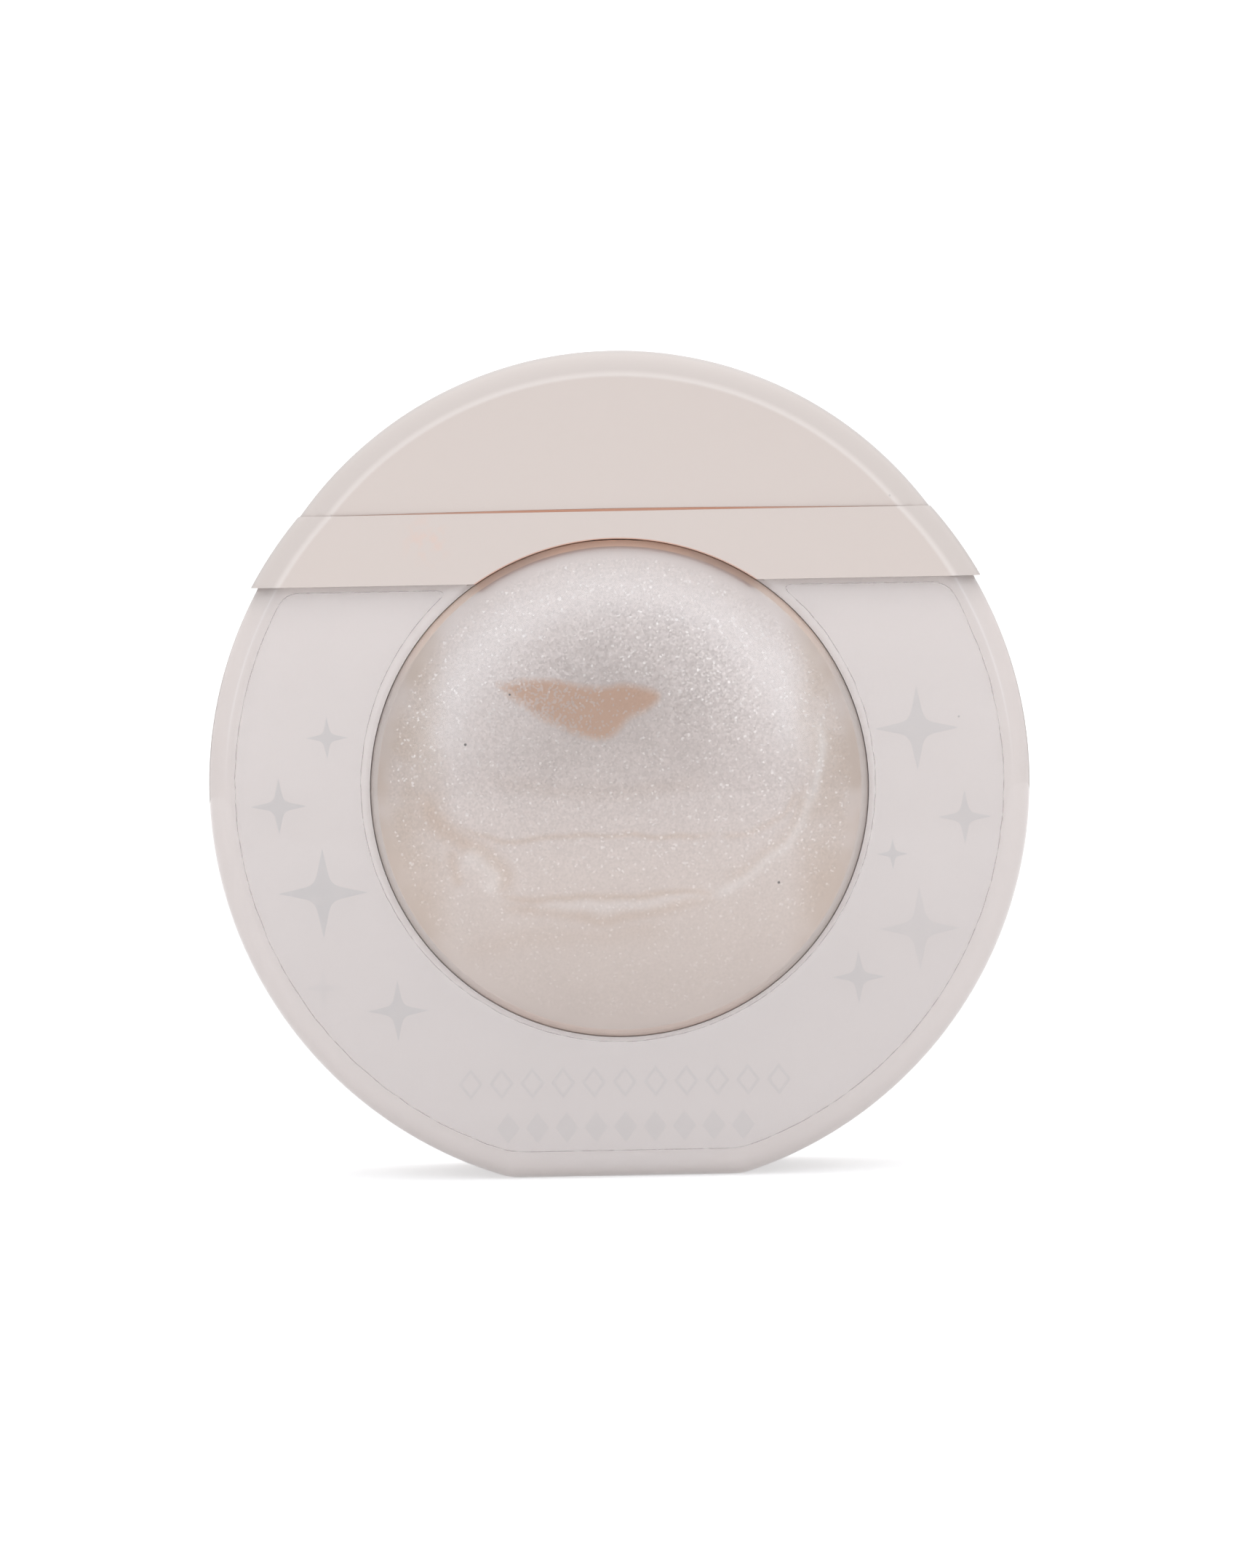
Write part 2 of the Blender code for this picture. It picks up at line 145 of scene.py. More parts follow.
def from_bmesh(name, bm):
    """An object from a bmesh, which is used up."""
    bmesh.ops.recalc_face_normals(bm, faces=bm.faces)
    mesh = bpy.data.meshes.new(name)
    bm.to_mesh(mesh)
    bm.free()
    return add_object(name, mesh)


def join_rings(bm, rings):
    """Faces between each ring of points and the next."""
    for one, other in zip(rings, rings[1:]):
        for i in range(len(one)):
            j = (i + 1) % len(one)
            bm.faces.new((one[i], one[j], other[j], other[i]))


def circle_outline(radius, centre_z):
    """The (x, z) points of a circle, as a function of how far it's moved inwards."""
    angles = [2 * math.pi * (i + 0.5) / AROUND for i in range(AROUND)]

    def outline(inset):
        r = radius - inset
        return [(r * math.sin(a), centre_z + r * math.cos(a)) for a in angles]

    return outline


def body_outline(inset):
    """The body's (x, z) outline moved inwards: a circle cut flat at the foot, with filleted corners."""
    fillet_z = FOOT_FILLET
    fillet_x = math.sqrt((BODY_R - FOOT_FILLET) ** 2 - (BODY_CENTRE_Z - fillet_z) ** 2)
    lean = math.atan2(fillet_x, BODY_CENTRE_Z - fillet_z)
    r = BODY_R - inset
    small = FOOT_FILLET - inset
    points = []
    for t in np.linspace(lean, 2 * math.pi - lean, AROUND):
        points.append((r * math.sin(t), BODY_CENTRE_Z - r * math.cos(t)))
    for t in np.linspace(-lean, 0, ROUND_STEPS + 1)[1:]:
        points.append((-fillet_x + small * math.sin(t), fillet_z - small * math.cos(t)))
    for t in np.linspace(0, lean, ROUND_STEPS + 1)[:-1]:
        points.append((fillet_x + small * math.sin(t), fillet_z - small * math.cos(t)))
    return points


def edge_profile(front_y, back_y, front_round=0.0, back_round=0.0):
    """(inset, y) from the front face to the back face of a slab with quarter-round edges."""
    quarter = np.linspace(0, math.pi / 2, ROUND_STEPS + 1)
    front = [(front_round * (1 - math.sin(t)), front_y + front_round * (1 - math.cos(t))) for t in quarter]
    back = [(back_round * (1 - math.cos(t)), back_y - back_round * (1 - math.sin(t))) for t in quarter]
    return (front if front_round else [(0, front_y)]) + (back if back_round else [(0, back_y)])


def creased_profile(half_depth, steps=12):
    """(inset, y) of a slab whose flat faces turn through a small crease into long rounded edges."""
    start = math.radians(CREASE)
    radius = EDGE_WIDTH / (1 - math.sin(start))
    front = []
    for t in np.linspace(0, start, 5):
        inset = EDGE_WIDTH + CREASE_BLEND * (math.sin(start) - math.sin(t))
        front.append((inset, -half_depth + CREASE_BLEND * (1 - math.cos(t))))
    sunk = CREASE_BLEND * (1 - math.cos(start))
    for t in np.linspace(start, math.pi / 2, steps)[1:]:
        y = -half_depth + sunk + radius * (math.cos(start) - math.cos(t))
        front.append((radius * (1 - math.sin(t)), y))
    return front + [(inset, -y) for inset, y in front[::-1]]


def slab(name, outline, profile, inset=0.0):
    """A closed slab whose outline follows a profile of (inset, y) from front to back."""
    bm = bmesh.new()
    rings = [[bm.verts.new((x, y, z)) for x, z in outline(inset + more)] for more, y in profile]
    join_rings(bm, rings)
    bm.faces.new(rings[0])
    bm.faces.new(rings[-1])
    return from_bmesh(name, bm)


def block(name, low, high):
    """A box between two corners, used only as a cutting tool."""
    bm = bmesh.new()
    bmesh.ops.create_cube(bm, size=1.0)
    bmesh.ops.scale(bm, verts=bm.verts, vec=[b - a for a, b in zip(low, high)])
    bmesh.ops.translate(bm, verts=bm.verts, vec=[(a + b) / 2 for a, b in zip(low, high)])
    return from_bmesh(name, bm)


def above(z):
    """A tool that takes away what is above a level."""
    return block("tool", (-WAY_OFF, -WAY_OFF, z), (WAY_OFF, WAY_OFF, z + WAY_OFF))


def below(z):
    """A tool that takes away what is below a level."""
    return block("tool", (-WAY_OFF, -WAY_OFF, z - WAY_OFF), (WAY_OFF, WAY_OFF, z))


def disc(name, radius, centre_z, profile, inset=0.0):
    """A round slab."""
    return slab(name, circle_outline(radius, centre_z), profile, inset)


def round_tool(radius, front_y=-WAY_OFF, back_y=WAY_OFF):
    """A cylinder from front to back about the window's centre."""
    return disc("tool", radius, WINDOW_CENTRE_Z, edge_profile(front_y, back_y))


def lathe(name, profile, steps=TURN_STEPS, along="Z"):
    """A closed profile of (radius, height) turned about the upright line, or about the window's axis.

    Points on the axis have radius 0. Along "Y", heights run towards the front.
    """
    bm = bmesh.new()
    rings = []
    for r, h in profile:
        if r == 0:
            rings.append([bm.verts.new((0, 0, h))])
        else:
            rings.append([
                bm.verts.new((r * math.cos(a), r * math.sin(a), h))
                for a in (2 * math.pi * i / steps for i in range(steps))
            ])
    closed = profile[0][0] != 0
    pairs = list(zip(rings, rings[1:])) + ([(rings[-1], rings[0])] if closed else [])
    for one, other in pairs:
        for i in range(steps):
            j = (i + 1) % steps
            if len(one) == 1:
                bm.faces.new((one[0], other[j], other[i]))
            elif len(other) == 1:
                bm.faces.new((one[i], one[j], other[0]))
            else:
                bm.faces.new((one[i], one[j], other[j], other[i]))
    if along == "Y":
        bmesh.ops.rotate(bm, verts=bm.verts, matrix=Matrix.Rotation(math.pi / 2, 3, "X"))
        bmesh.ops.translate(bm, verts=bm.verts, vec=(0, 0, WINDOW_CENTRE_Z))
    return from_bmesh(name, bm)


def bake_modifiers(piece):
    """Replace a piece's mesh with what its modifiers make of it."""
    bpy.context.view_layer.update()
    evaluated = piece.evaluated_get(bpy.context.evaluated_depsgraph_get())
    mesh = bpy.data.meshes.new_from_object(evaluated)
    piece.modifiers.clear()
    piece.data = mesh
    return piece


def modify(piece, kind, **settings):
    """Add a modifier with its settings."""
    modifier = piece.modifiers.new(kind.lower(), kind)
    for key, value in settings.items():
        setattr(modifier, key, value)


CUT, JOIN = "DIFFERENCE", "UNION"


def combine(piece, *steps):
    """Cut tools from a piece or join them on: each step is (CUT or JOIN, tool). The tools are used up."""
    for operation, tool in steps:
        modify(piece, "BOOLEAN", operation=operation, solver="EXACT", object=tool)
    bake_modifiers(piece)
    for _, tool in steps:
        bpy.data.objects.remove(tool)
    return piece


def soften(piece, width):
    """Break a piece's sharp edges, as moulded ones are."""
    modify(piece, "BEVEL", width=width, segments=2, limit_method="ANGLE", angle_limit=math.radians(40),
           use_clamp_overlap=True)
    return bake_modifiers(piece)


def smooth(piece):
    """Shade a piece smooth, keep its sharp edges and let its flat faces stay flat."""
    piece.data.shade_smooth()
    piece.data.set_sharp_from_angle(angle=math.radians(32))
    modify(piece, "WEIGHTED_NORMAL", mode="FACE_AREA", weight=100, keep_sharp=True)
    return piece


def turn_round(piece):
    """Turn a front piece half round the upright line, to make the rear one."""
    piece.data.transform(Matrix.Rotation(math.pi, 4, "Z"))
    return piece


def finish_piece(piece, body, slot, look, *nodes):
    """Give a piece its material, body and the CAD nodes that it stands for; slot is not used."""
    piece.data.materials.clear()
    piece.data.materials.append(look)
    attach(piece, body)
    if nodes:
        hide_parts(*nodes)
    return piece


# ---------------------------------------------------------------- material helpers
class Nodes:
    """A node tree while it's being put together, with short ways to add what is used here."""

    def __init__(self, tree):
        self.tree = tree

    def node(self, kind, **values):
        """A new node, with some of its settings and inputs."""
        made = self.tree.nodes.new(kind)
        for key, value in values.items():
            if key in made.inputs:
                self.plug(made.inputs[key], value)
            else:
                setattr(made, key, value)
        return made

    def plug(self, socket, value):
        """Set an input, or link another node's output to it."""
        if isinstance(value, bpy.types.NodeSocket):
            self.tree.links.new(value, socket)
        else:
            socket.default_value = value

    def math(self, operation, first, second=0.0):
        """One sum on two numbers."""
        made = self.node("ShaderNodeMath", operation=operation)
        self.plug(made.inputs[0], first)
        self.plug(made.inputs[1], second)
        return made.outputs[0]

    def times(self, first, *others):
        """Numbers multiplied."""
        for other in others:
            first = self.math("MULTIPLY", first, other)
        return first

    def plus(self, first, second):
        """Two numbers added."""
        return self.math("ADD", first, second)

    def minus(self, first, second):
        """The second number taken from the first."""
        return self.math("SUBTRACT", first, second)

    def radius(self, x, z, centre_z):
        """How far (x, z) is from a centre on the middle line."""
        rise = self.minus(z, centre_z)
        return self.math("SQRT", self.plus(self.times(x, x), self.times(rise, rise)))

    def ramp(self, value, low, high, to_low=0.0, to_high=1.0):
        """A smooth step from to_low to to_high as value goes from low to high."""
        made = self.node("ShaderNodeMapRange", interpolation_type="SMOOTHSTEP")
        for i, number in enumerate((value, low, high, to_low, to_high)):
            self.plug(made.inputs[i], number)
        return made.outputs[0]

    def mix(self, share, first, second, blend="MIX"):
        """One colour blended into another."""
        made = self.node("ShaderNodeMix", data_type="RGBA", blend_type=blend)
        for i, value in ((0, share), (6, first), (7, second)):
            self.plug(made.inputs[i], value)
        return made.outputs[2]

    def multiply(self, first, second):
        """Two colours multiplied."""
        return self.mix(1.0, first, second, "MULTIPLY")

    def vector(self, operation, first, second=(0.0, 0.0, 0.0)):
        """One sum on two vectors, or on a vector and a number."""
        made = self.node("ShaderNodeVectorMath", operation=operation)
        self.plug(made.inputs[0], first)
        self.plug(made.inputs["Scale" if operation == "SCALE" else 1], second)
        return made.outputs["Value" if operation == "DOT_PRODUCT" else "Vector"]

    def scale(self, vector, factor):
        """A colour or a vector times a number."""
        return self.vector("SCALE", vector, factor)

    def step(self, value, edge):
        """1 where value is over edge, else 0."""
        return self.math("GREATER_THAN", value, edge)

    def split(self, vector):
        """The three parts of a vector."""
        return self.node("ShaderNodeSeparateXYZ", Vector=vector).outputs

    def place(self):
        """The point on the piece, in metres in the row frame."""
        return self.node("ShaderNodeTexCoord").outputs["Object"]

    def noise(self, size, detail=2.0, distortion=0.0):
        """Noise with features of a size in metres, from about 0 to 1."""
        made = self.node("ShaderNodeTexNoise", Vector=self.place(), Scale=1 / size)
        made.inputs["Detail"].default_value = detail
        made.inputs["Distortion"].default_value = distortion
        return made.outputs["Fac"]

    def cells(self, size, output="Color"):
        """Voronoi cells of a size in metres."""
        return self.node("ShaderNodeTexVoronoi", Vector=self.place(), Scale=1 / size).outputs[output]

    def bump(self, height, distance, strength=1.0):
        """A normal from a height of 0 to 1, distance deep."""
        made = self.node("ShaderNodeBump", Strength=strength, Distance=distance, Height=height)
        return made.outputs["Normal"]

    def attribute(self, name):
        """A number stored on the mesh's points."""
        return self.node("ShaderNodeAttribute", attribute_name=name).outputs["Fac"]


class Look(Nodes):
    """A node material while it's being put together."""

    def __init__(self, name):
        self.material = bpy.data.materials.new(name)
        self.material.use_nodes = True
        super().__init__(self.material.node_tree)
        self.shader = self.tree.nodes["Principled BSDF"]
        self.output = self.tree.nodes["Material Output"]

    def set(self, **values):
        """Inputs of the Principled shader, named with _ for spaces."""
        for key, value in values.items():
            self.plug(self.shader.inputs[key.replace("_", " ")], value)


def shade(colour, factor):
    """A colour made lighter or darker."""
    return (*(min(1.0, c * factor) for c in colour[:3]), 1.0)


def moulded_plastic(name, colour, roughness=0.36, mottle=0.012, grain=0.006 * MM, tint=None):
    """Satin moulded plastic: faint flow mottling, uneven gloss, a fine spark-eroded grain and a few specks.

    tint(look, base) may change the colour from place to place; the tints here paint light and shade.
    """
    look = Look(name)
    cloud = look.noise(14 * MM, detail=3)
    streak = look.noise(3 * MM, detail=2, distortion=1.5)
    tone = look.plus(look.times(cloud, 0.7), look.times(streak, 0.3))
    base = look.mix(tone, shade(colour, 1 - mottle), shade(colour, 1 + mottle))
    speck = look.math("LESS_THAN", look.cells(5.5 * MM, "Distance"), 0.018)
    base = look.mix(look.times(speck, 0.5), base, shade(colour, 0.45))
    if tint is not None:
        base = tint(look, base)
    fine = look.noise(0.22 * MM, detail=2)
    look.set(
        Base_Color=base,
        Roughness=look.ramp(look.noise(9 * MM, detail=3), 0.3, 0.7, roughness - 0.04, roughness + 0.05),
        Normal=look.bump(fine, grain),
        Specular_IOR_Level=0.5,
        IOR=1.48,
    )
    return look.material


def lets_lamps_through(look, tint):
    """Let light from lamps straight through a clear piece, tinted, so that what is behind it is lit."""
    transparent = look.node("ShaderNodeBsdfTransparent", Color=tint)
    path = look.node("ShaderNodeLightPath")
    mixed = look.node("ShaderNodeMixShader")
    look.tree.links.new(path.outputs["Is Shadow Ray"], mixed.inputs[0])
    look.tree.links.new(look.shader.outputs[0], mixed.inputs[1])
    look.tree.links.new(transparent.outputs[0], mixed.inputs[2])
    look.tree.links.new(mixed.outputs[0], look.output.inputs["Surface"])


def clear_plastic(name, colour, roughness=0.02):
    """Clear moulded plastic with slightly wavy, faintly scuffed faces."""
    look = Look(name)
    wave = look.noise(6 * MM, detail=1)
    scuff = look.noise(5 * MM, detail=3)
    look.set(
        Base_Color=look.mix(look.noise(10 * MM), shade(colour, 0.99), shade(colour, 1.0)),
        Roughness=look.ramp(scuff, 0.45, 0.8, roughness, roughness + 0.02),
        Normal=look.bump(wave, 0.01 * MM),
        Transmission_Weight=1.0,
        IOR=1.49,
    )
    lets_lamps_through(look, shade(colour, 1.0))
    return look.material


# ---------------------------------------------------------------- colours
BEIGE = (0.597, 0.522, 0.487)
# Painted highlight along the crease, painted grey reflection on the rounded edge and painted shade at its
# outermost part
CREASE_HIGHLIGHT = (0.780, 0.735, 0.715, 1)
EDGE_REFLECTION_TINT = (0.965, 0.985, 1.0, 1)
RIM_EDGE_SHADE = (0.86, 0.87, 0.88, 1)
BEIGE_LINER = (0.905, 0.838, 0.822)
# Painted shade and light on the liner, multiplied in by height, and the painted shade of its rounded rim
LINER_LOW_SHADE = (0.864, 0.860, 0.858, 1)
LINER_MID_SHADE = (0.925, 0.924, 0.920, 1)
LINER_TOP_LIGHT = (0.977, 0.973, 0.968, 1)
LINER_RIM_SHADE = (0.785, 0.718, 0.698, 1)
# Painted warm shade in the seam and round the window's arch: deeper at the middle, paler at the ends
WARM_GAP_SHADE = (0.56, 0.285, 0.195, 1)
WARM_GAP_SHADE_PALE = (0.62, 0.410, 0.335, 1)
CLEAR = (0.990, 0.985, 0.980)
PEARL_BASE = (0.572, 0.506, 0.486)
PEARL_LOW_SHADE = (0.556, 0.482, 0.447, 1)
PEARL_PALE = (0.680, 0.640, 0.625, 1)
PEARL_SIDE_SHADE = (0.480, 0.390, 0.335, 1)
STREAK_TAN = (0.480, 0.370, 0.305, 1)
BUBBLE_BROWN = (0.560, 0.380, 0.290, 1)
PEARL_METAL = 0.85
PEARL_ROUGH = 0.30
FLAKE_SIZE = 0.16 * MM
FLAKE_TONE = 0.14
FLAKE_TILT = 0.07
RIM_INNER_R = 18.80      # where the fluid's painted rim shade starts, in millimetres from the window's centre
# Painted warm shade in the recess round the fluid's edge, by angle from the top, warmest under the arch
RIM_SHADE_TOP = (0.995, 0.775, 0.650, 1)
RIM_SHADE_SHOULDER = (0.860, 0.700, 0.610, 1)
RIM_SHADE_SIDE = (0.700, 0.625, 0.590, 1)
RIM_SHADE_BOTTOM = (0.740, 0.610, 0.550, 1)
SPECK_DARK = (0.08, 0.07, 0.07, 1)
SMUDGE_PEACH = (0.700, 0.470, 0.390, 1)
SILVER_TINT = (0.830, 0.855, 0.870)
INK_COVER = 0.85
LOZENGE_INK = 0.50
NATURAL = (0.80, 0.78, 0.74)
WARM_PLASTIC = (0.60, 0.42, 0.33)
RUBBER = (0.70, 0.67, 0.64)
FOAM = (0.78, 0.66, 0.59)
FILM = (0.74, 0.72, 0.74)
FILM_HAZE = 0.03
FILM_EDGE = (0.40, 0.35, 0.35)


# ---------------------------------------------------------------- clear shells and liners
def window_bevel(face):
    """A tool that bevels the window's edge where it meets a front face at a height."""
    past = 1 * MM
    return lathe("tool", [
        (0, face + past), (WINDOW_R + WINDOW_BEVEL + past, face + past), (WINDOW_R, face - WINDOW_BEVEL),
        (0, face - WINDOW_BEVEL),
    ], along="Y")


def make_shell(name):
    """One clear half of the body, open at the window and cut straight where the collar starts."""
    outer = slab(name, body_outline, edge_profile(SHELL_LOW.y, SHELL_HIGH.y, EDGE_ROUND))
    inner_y = SHELL_LOW.y + BODY_WALL
    hollow = slab("tool", body_outline, edge_profile(inner_y, -inner_y, LINER_ROUND), BODY_WALL)
    combine(outer, (CUT, hollow), (CUT, round_tool(WINDOW_R)), (CUT, window_bevel(-SHELL_LOW.y)))
    soften(outer, SHELL_BREAK)
    return smooth(combine(outer, (CUT, above(COLLAR_LOW.z + BOND))))


def make_liner(name):
    """One beige half behind the clear wall, with a ring-shaped boss behind the window."""
    front_y = SHELL_LOW.y + BODY_WALL - BOND
    inset = BODY_WALL - BOND
    outer = slab(name, body_outline, edge_profile(front_y, LINER_BACK_Y, LINER_ROUND + BOND), inset)
    inner_y = front_y + LINER_WALL
    profile = edge_profile(inner_y, -inner_y, LINER_INNER_ROUND)
    hollow = slab("tool", body_outline, profile, inset + LINER_WALL)
    boss = round_tool(WINDOW_R + BOSS_WALL, front_y + LINER_WALL / 2, BOSS_END_Y)
    above_collar = above(COLLAR_LOW.z + BOND)
    combine(outer, (CUT, hollow), (JOIN, boss), (CUT, round_tool(WINDOW_R)), (CUT, above_collar))
    return smooth(outer)


def make_body():
    """The clear shells with the liners behind them."""
    clear = clear_plastic("clear_body", CLEAR)
    beige = moulded_plastic("beige_liner", BEIGE_LINER, roughness=0.42, tint=painted_liner_shade)
    finish_piece(make_shell("clear_front_shell"), "pack", "clear_body", clear, "front_shell")
    finish_piece(turn_round(make_shell("clear_rear_shell")), "pack", "clear_body", clear, "rear_shell")
    finish_piece(make_liner("beige_front_liner"), "pack", "beige_liner", beige, "front_liner")
    finish_piece(turn_round(make_liner("beige_rear_liner")), "pack", "beige_liner", beige, "rear_liner")


# ---------------------------------------------------------------- reservoir and fluid
def dome_arc(edge_radius, edge_height, apex_height, steps):
    """Points of a round cap from its apex on the axis to its edge."""
    rise = apex_height - edge_height
    sphere_r = (edge_radius**2 + rise**2) / (2 * rise)
    spread = math.asin(edge_radius / sphere_r)
    return [
        (sphere_r * math.sin(spread * i / steps), apex_height - sphere_r * (1 - math.cos(spread * i / steps)))
        for i in range(steps + 1)
    ]


def dome_skin(inset, steps=40):
    """The dome's profile of (radius, height) from its apex to its side, moved inwards by an inset."""
    sphere_r, side_r = DOME_SPHERE_R - inset, DOME_R - inset
    middle_y = DOME_APEX_Y - DOME_SPHERE_R
    tilt = math.asin((side_r - DOME_SHOULDER) / (sphere_r - DOME_SHOULDER))
    arc = [
        (sphere_r * math.sin(t), middle_y + sphere_r * math.cos(t))
        for t in np.linspace(0, tilt, steps + 1)
    ]
    shoulder_y = middle_y + (sphere_r - DOME_SHOULDER) * math.cos(tilt)
    shoulder = [
        (side_r - DOME_SHOULDER * (1 - math.sin(t)), shoulder_y + DOME_SHOULDER * math.cos(t))
        for t in np.linspace(tilt, math.pi / 2, 7)[1:]
    ]
    return [(0, arc[0][1])] + arc[1:] + shoulder


def spout_bore(low):
    """A tool that bores the spout's hole from above the deck down to a level."""
    return lathe("tool", [(0, BORE_TOP_Z), (SPOUT_HOLE_R, BORE_TOP_Z), (SPOUT_HOLE_R, low), (0, low)])


def make_dome(name):
    """One clear domed half of the reservoir, with a rounded shoulder and a flange."""
    flange = [
        (DOME_R, FLANGE_FRONT_Y), (FLANGE_R, FLANGE_FRONT_Y), (FLANGE_R, FLANGE_BACK_Y),
        (DOME_R - DOME_WALL, FLANGE_BACK_Y),
    ]
    dome = lathe(name, dome_skin(0) + flange + dome_skin(DOME_WALL)[::-1], AROUND, along="Y")
    combine(dome, (CUT, spout_bore(DOME_BORE_Z)), (CUT, above(FLANGE_TOP_Z)))
    return smooth(dome)


def nearest(points, path):
    """How far each (x, z) point is from a path, and how far along the path its nearest place is, 0 to 1."""
    best = np.full(len(points), np.inf)
    along = np.zeros(len(points))
    lengths = [np.linalg.norm(b - a) for a, b in zip(path, path[1:])]
    total, gone = sum(lengths), 0.0
    for a, b, length in zip(path, path[1:], lengths):
        t = np.clip((points - a) @ (b - a) / length**2, 0, 1)
        distance = np.linalg.norm(points - (a + t[:, None] * (b - a)), axis=1)
        closer = distance < best
        best[closer] = distance[closer]
        along[closer] = (gone + t[closer] * length) / total
        gone += length
    return best, along


def curve_through(points, steps=12):
    """A smooth Catmull-Rom path through a few points."""
    p = np.array([points[0], *points, points[-1]], float)
    path = []
    for a, b, c, d in zip(p, p[1:], p[2:], p[3:]):
        for t in np.linspace(0, 1, steps, endpoint=False):
            path.append(0.5 * (2 * b + (c - a) * t + (2 * a - 5 * b + 4 * c - d) * t**2
                               + (3 * b - a - 3 * c + d) * t**3))
    return np.array([*path, p[-1]])


# Streaks in the fluid, in millimetres from the window's centre: (points, half width, depth, tan or pale)
STREAKS = [
    ([(-15.2, 0.2), (-14.3, -2.3), (-12.2, -3.9), (-10.3, -5.0), (-9.2, -6.5), (-9.7, -8.1)],
     0.55, 0.75, "tan"),
    ([(-13.6, -2.2), (-10.9, -3.4), (-8.5, -3.8), (-3.6, -3.5), (2.9, -3.6), (7.5, -3.7)],
     0.16, 0.55, "tan"),
    ([(7.5, -3.9), (10.4, -3.4), (12.3, -2.4), (14.0, -0.6)], 0.2, 0.35, "tan"),
    ([(-12.9, -4.4), (-13.0, -6.0), (-12.4, -7.4)], 0.35, 0.5, "tan"),
    ([(-12.2, -4.9), (-10.6, -5.4), (-9.8, -6.7), (-10.5, -8.0)], 0.5, 0.7, "pale"),
    ([(-9.7, -8.0), (-6.5, -8.4), (-2.3, -8.3), (2.9, -8.2), (7.6, -8.0)], 0.2, 0.6, "tan"),
    ([(6.2, -7.6), (7.7, -8.0), (10.3, -6.5), (12.9, -4.4), (14.7, -1.5), (15.7, 2.4), (15.7, 5.5)],
     0.28, 0.7, "pale"),
    ([(8.0, -7.4), (10.6, -5.9), (13.1, -3.7), (14.9, -0.6)], 0.4, 0.35, "tan"),
    ([(-9.4, -8.9), (-4.9, -9.4), (-1.2, -10.0), (2.9, -9.4), (7.4, -8.3)], 0.35, 0.5, "tan"),
    ([(-7.0, -8.9), (-2.0, -9.0), (3.0, -8.8), (7.2, -8.2)], 0.3, 0.5, "pale"),
    ([(-12.6, -12.6), (-7.0, -11.4), (-1.0, -11.3), (4.0, -10.8)], 0.6, 0.2, "tan"),
    ([(-11.0, 1.3), (-6.0, 0.1), (1.0, -0.2), (7.0, 0.8)], 0.5, 0.15, "tan"),
]
# Where the pearl has drawn away from the dome and the warm depth shows, in the same millimetres
THIN_PATCH = [(-9.1, 8.15), (-6.6, 8.55), (-4.0, 8.45), (-1.6, 7.85), (0.4, 8.15), (1.9, 7.85), (3.2, 6.85),
              (1.1, 5.55), (-0.7, 4.2), (-2.4, 4.3), (-4.9, 5.25), (-7.0, 6.5)]


def inside(points, outline):
    """Which (x, z) points lie inside a closed outline."""
    within = np.zeros(len(points), bool)
    x, z = points[:, 0], points[:, 1]
    for (x0, z0), (x1, z1) in zip(outline, np.roll(outline, -1, axis=0)):
        crosses = (z0 > z) != (z1 > z)
        with np.errstate(divide="ignore", invalid="ignore"):
            within ^= crosses & (x < (x1 - x0) * (z - z0) / (z1 - z0) + x0)
    return within


def store(piece, name, values):
    """Keep one number a point on a piece's mesh."""
    attribute = piece.data.attributes.new(name, "FLOAT", "POINT")
    attribute.data.foreach_set("value", np.asarray(values, np.float32))


def flow_wobble(points, seed, size, amount):
    """A soft two-way shift of (x, z) points, so that painted streaks meander."""
    moved = points.copy()
    for i, (x, z) in enumerate(points):
        shift = noise.noise_vector(Vector((x / size, z / size, seed)))
        moved[i] += amount * np.array((shift[0], shift[1]))
    return moved


def paint_fluid(fluid):
    """Streaks and thin patch of the pearl, and where each point lies for its painted shade and glints, as
    numbers on the mesh's points.
    """
    co = np.zeros(len(fluid.data.vertices) * 3)
    fluid.data.vertices.foreach_get("co", co)
    co = co.reshape(-1, 3)
    true = np.stack((co[:, 0], co[:, 2] - WINDOW_CENTRE_Z), axis=1) / MM
    flat = flow_wobble(true, seed=3.1, size=2.2, amount=0.28)
    front = np.clip(-co[:, 1] / MM / 4, 0, 1)
    tan, pale = np.zeros(len(flat)), np.zeros(len(flat))
    for points, width, depth, kind in STREAKS:
        distance, along = nearest(flat, curve_through(points))
        ends = np.clip(np.minimum(along, 1 - along) / 0.12, 0, 1) ** 0.7
        mark = depth * ends * np.exp(-((distance / width) ** 2) / 2)
        if kind == "tan":
            tan = np.maximum(tan, mark)
        else:
            pale = np.maximum(pale, mark)
    outline = curve_through([*THIN_PATCH, THIN_PATCH[0]], 6)
    distance, _ = nearest(flat, outline)
    signed = np.where(inside(flat, outline), distance, -distance)
    patch = np.clip(signed / 0.7 + 0.5, 0, 1)
    store(fluid, "tan", tan * front)
    store(fluid, "pale", pale * front)
    store(fluid, "patch", patch * front)
    store(fluid, "radius", np.hypot(true[:, 0], true[:, 1]))
    store(fluid, "from_top", np.degrees(np.abs(np.arctan2(true[:, 0], true[:, 1]))))
    store(fluid, "across", flat[:, 0])
    store(fluid, "up", flat[:, 1])


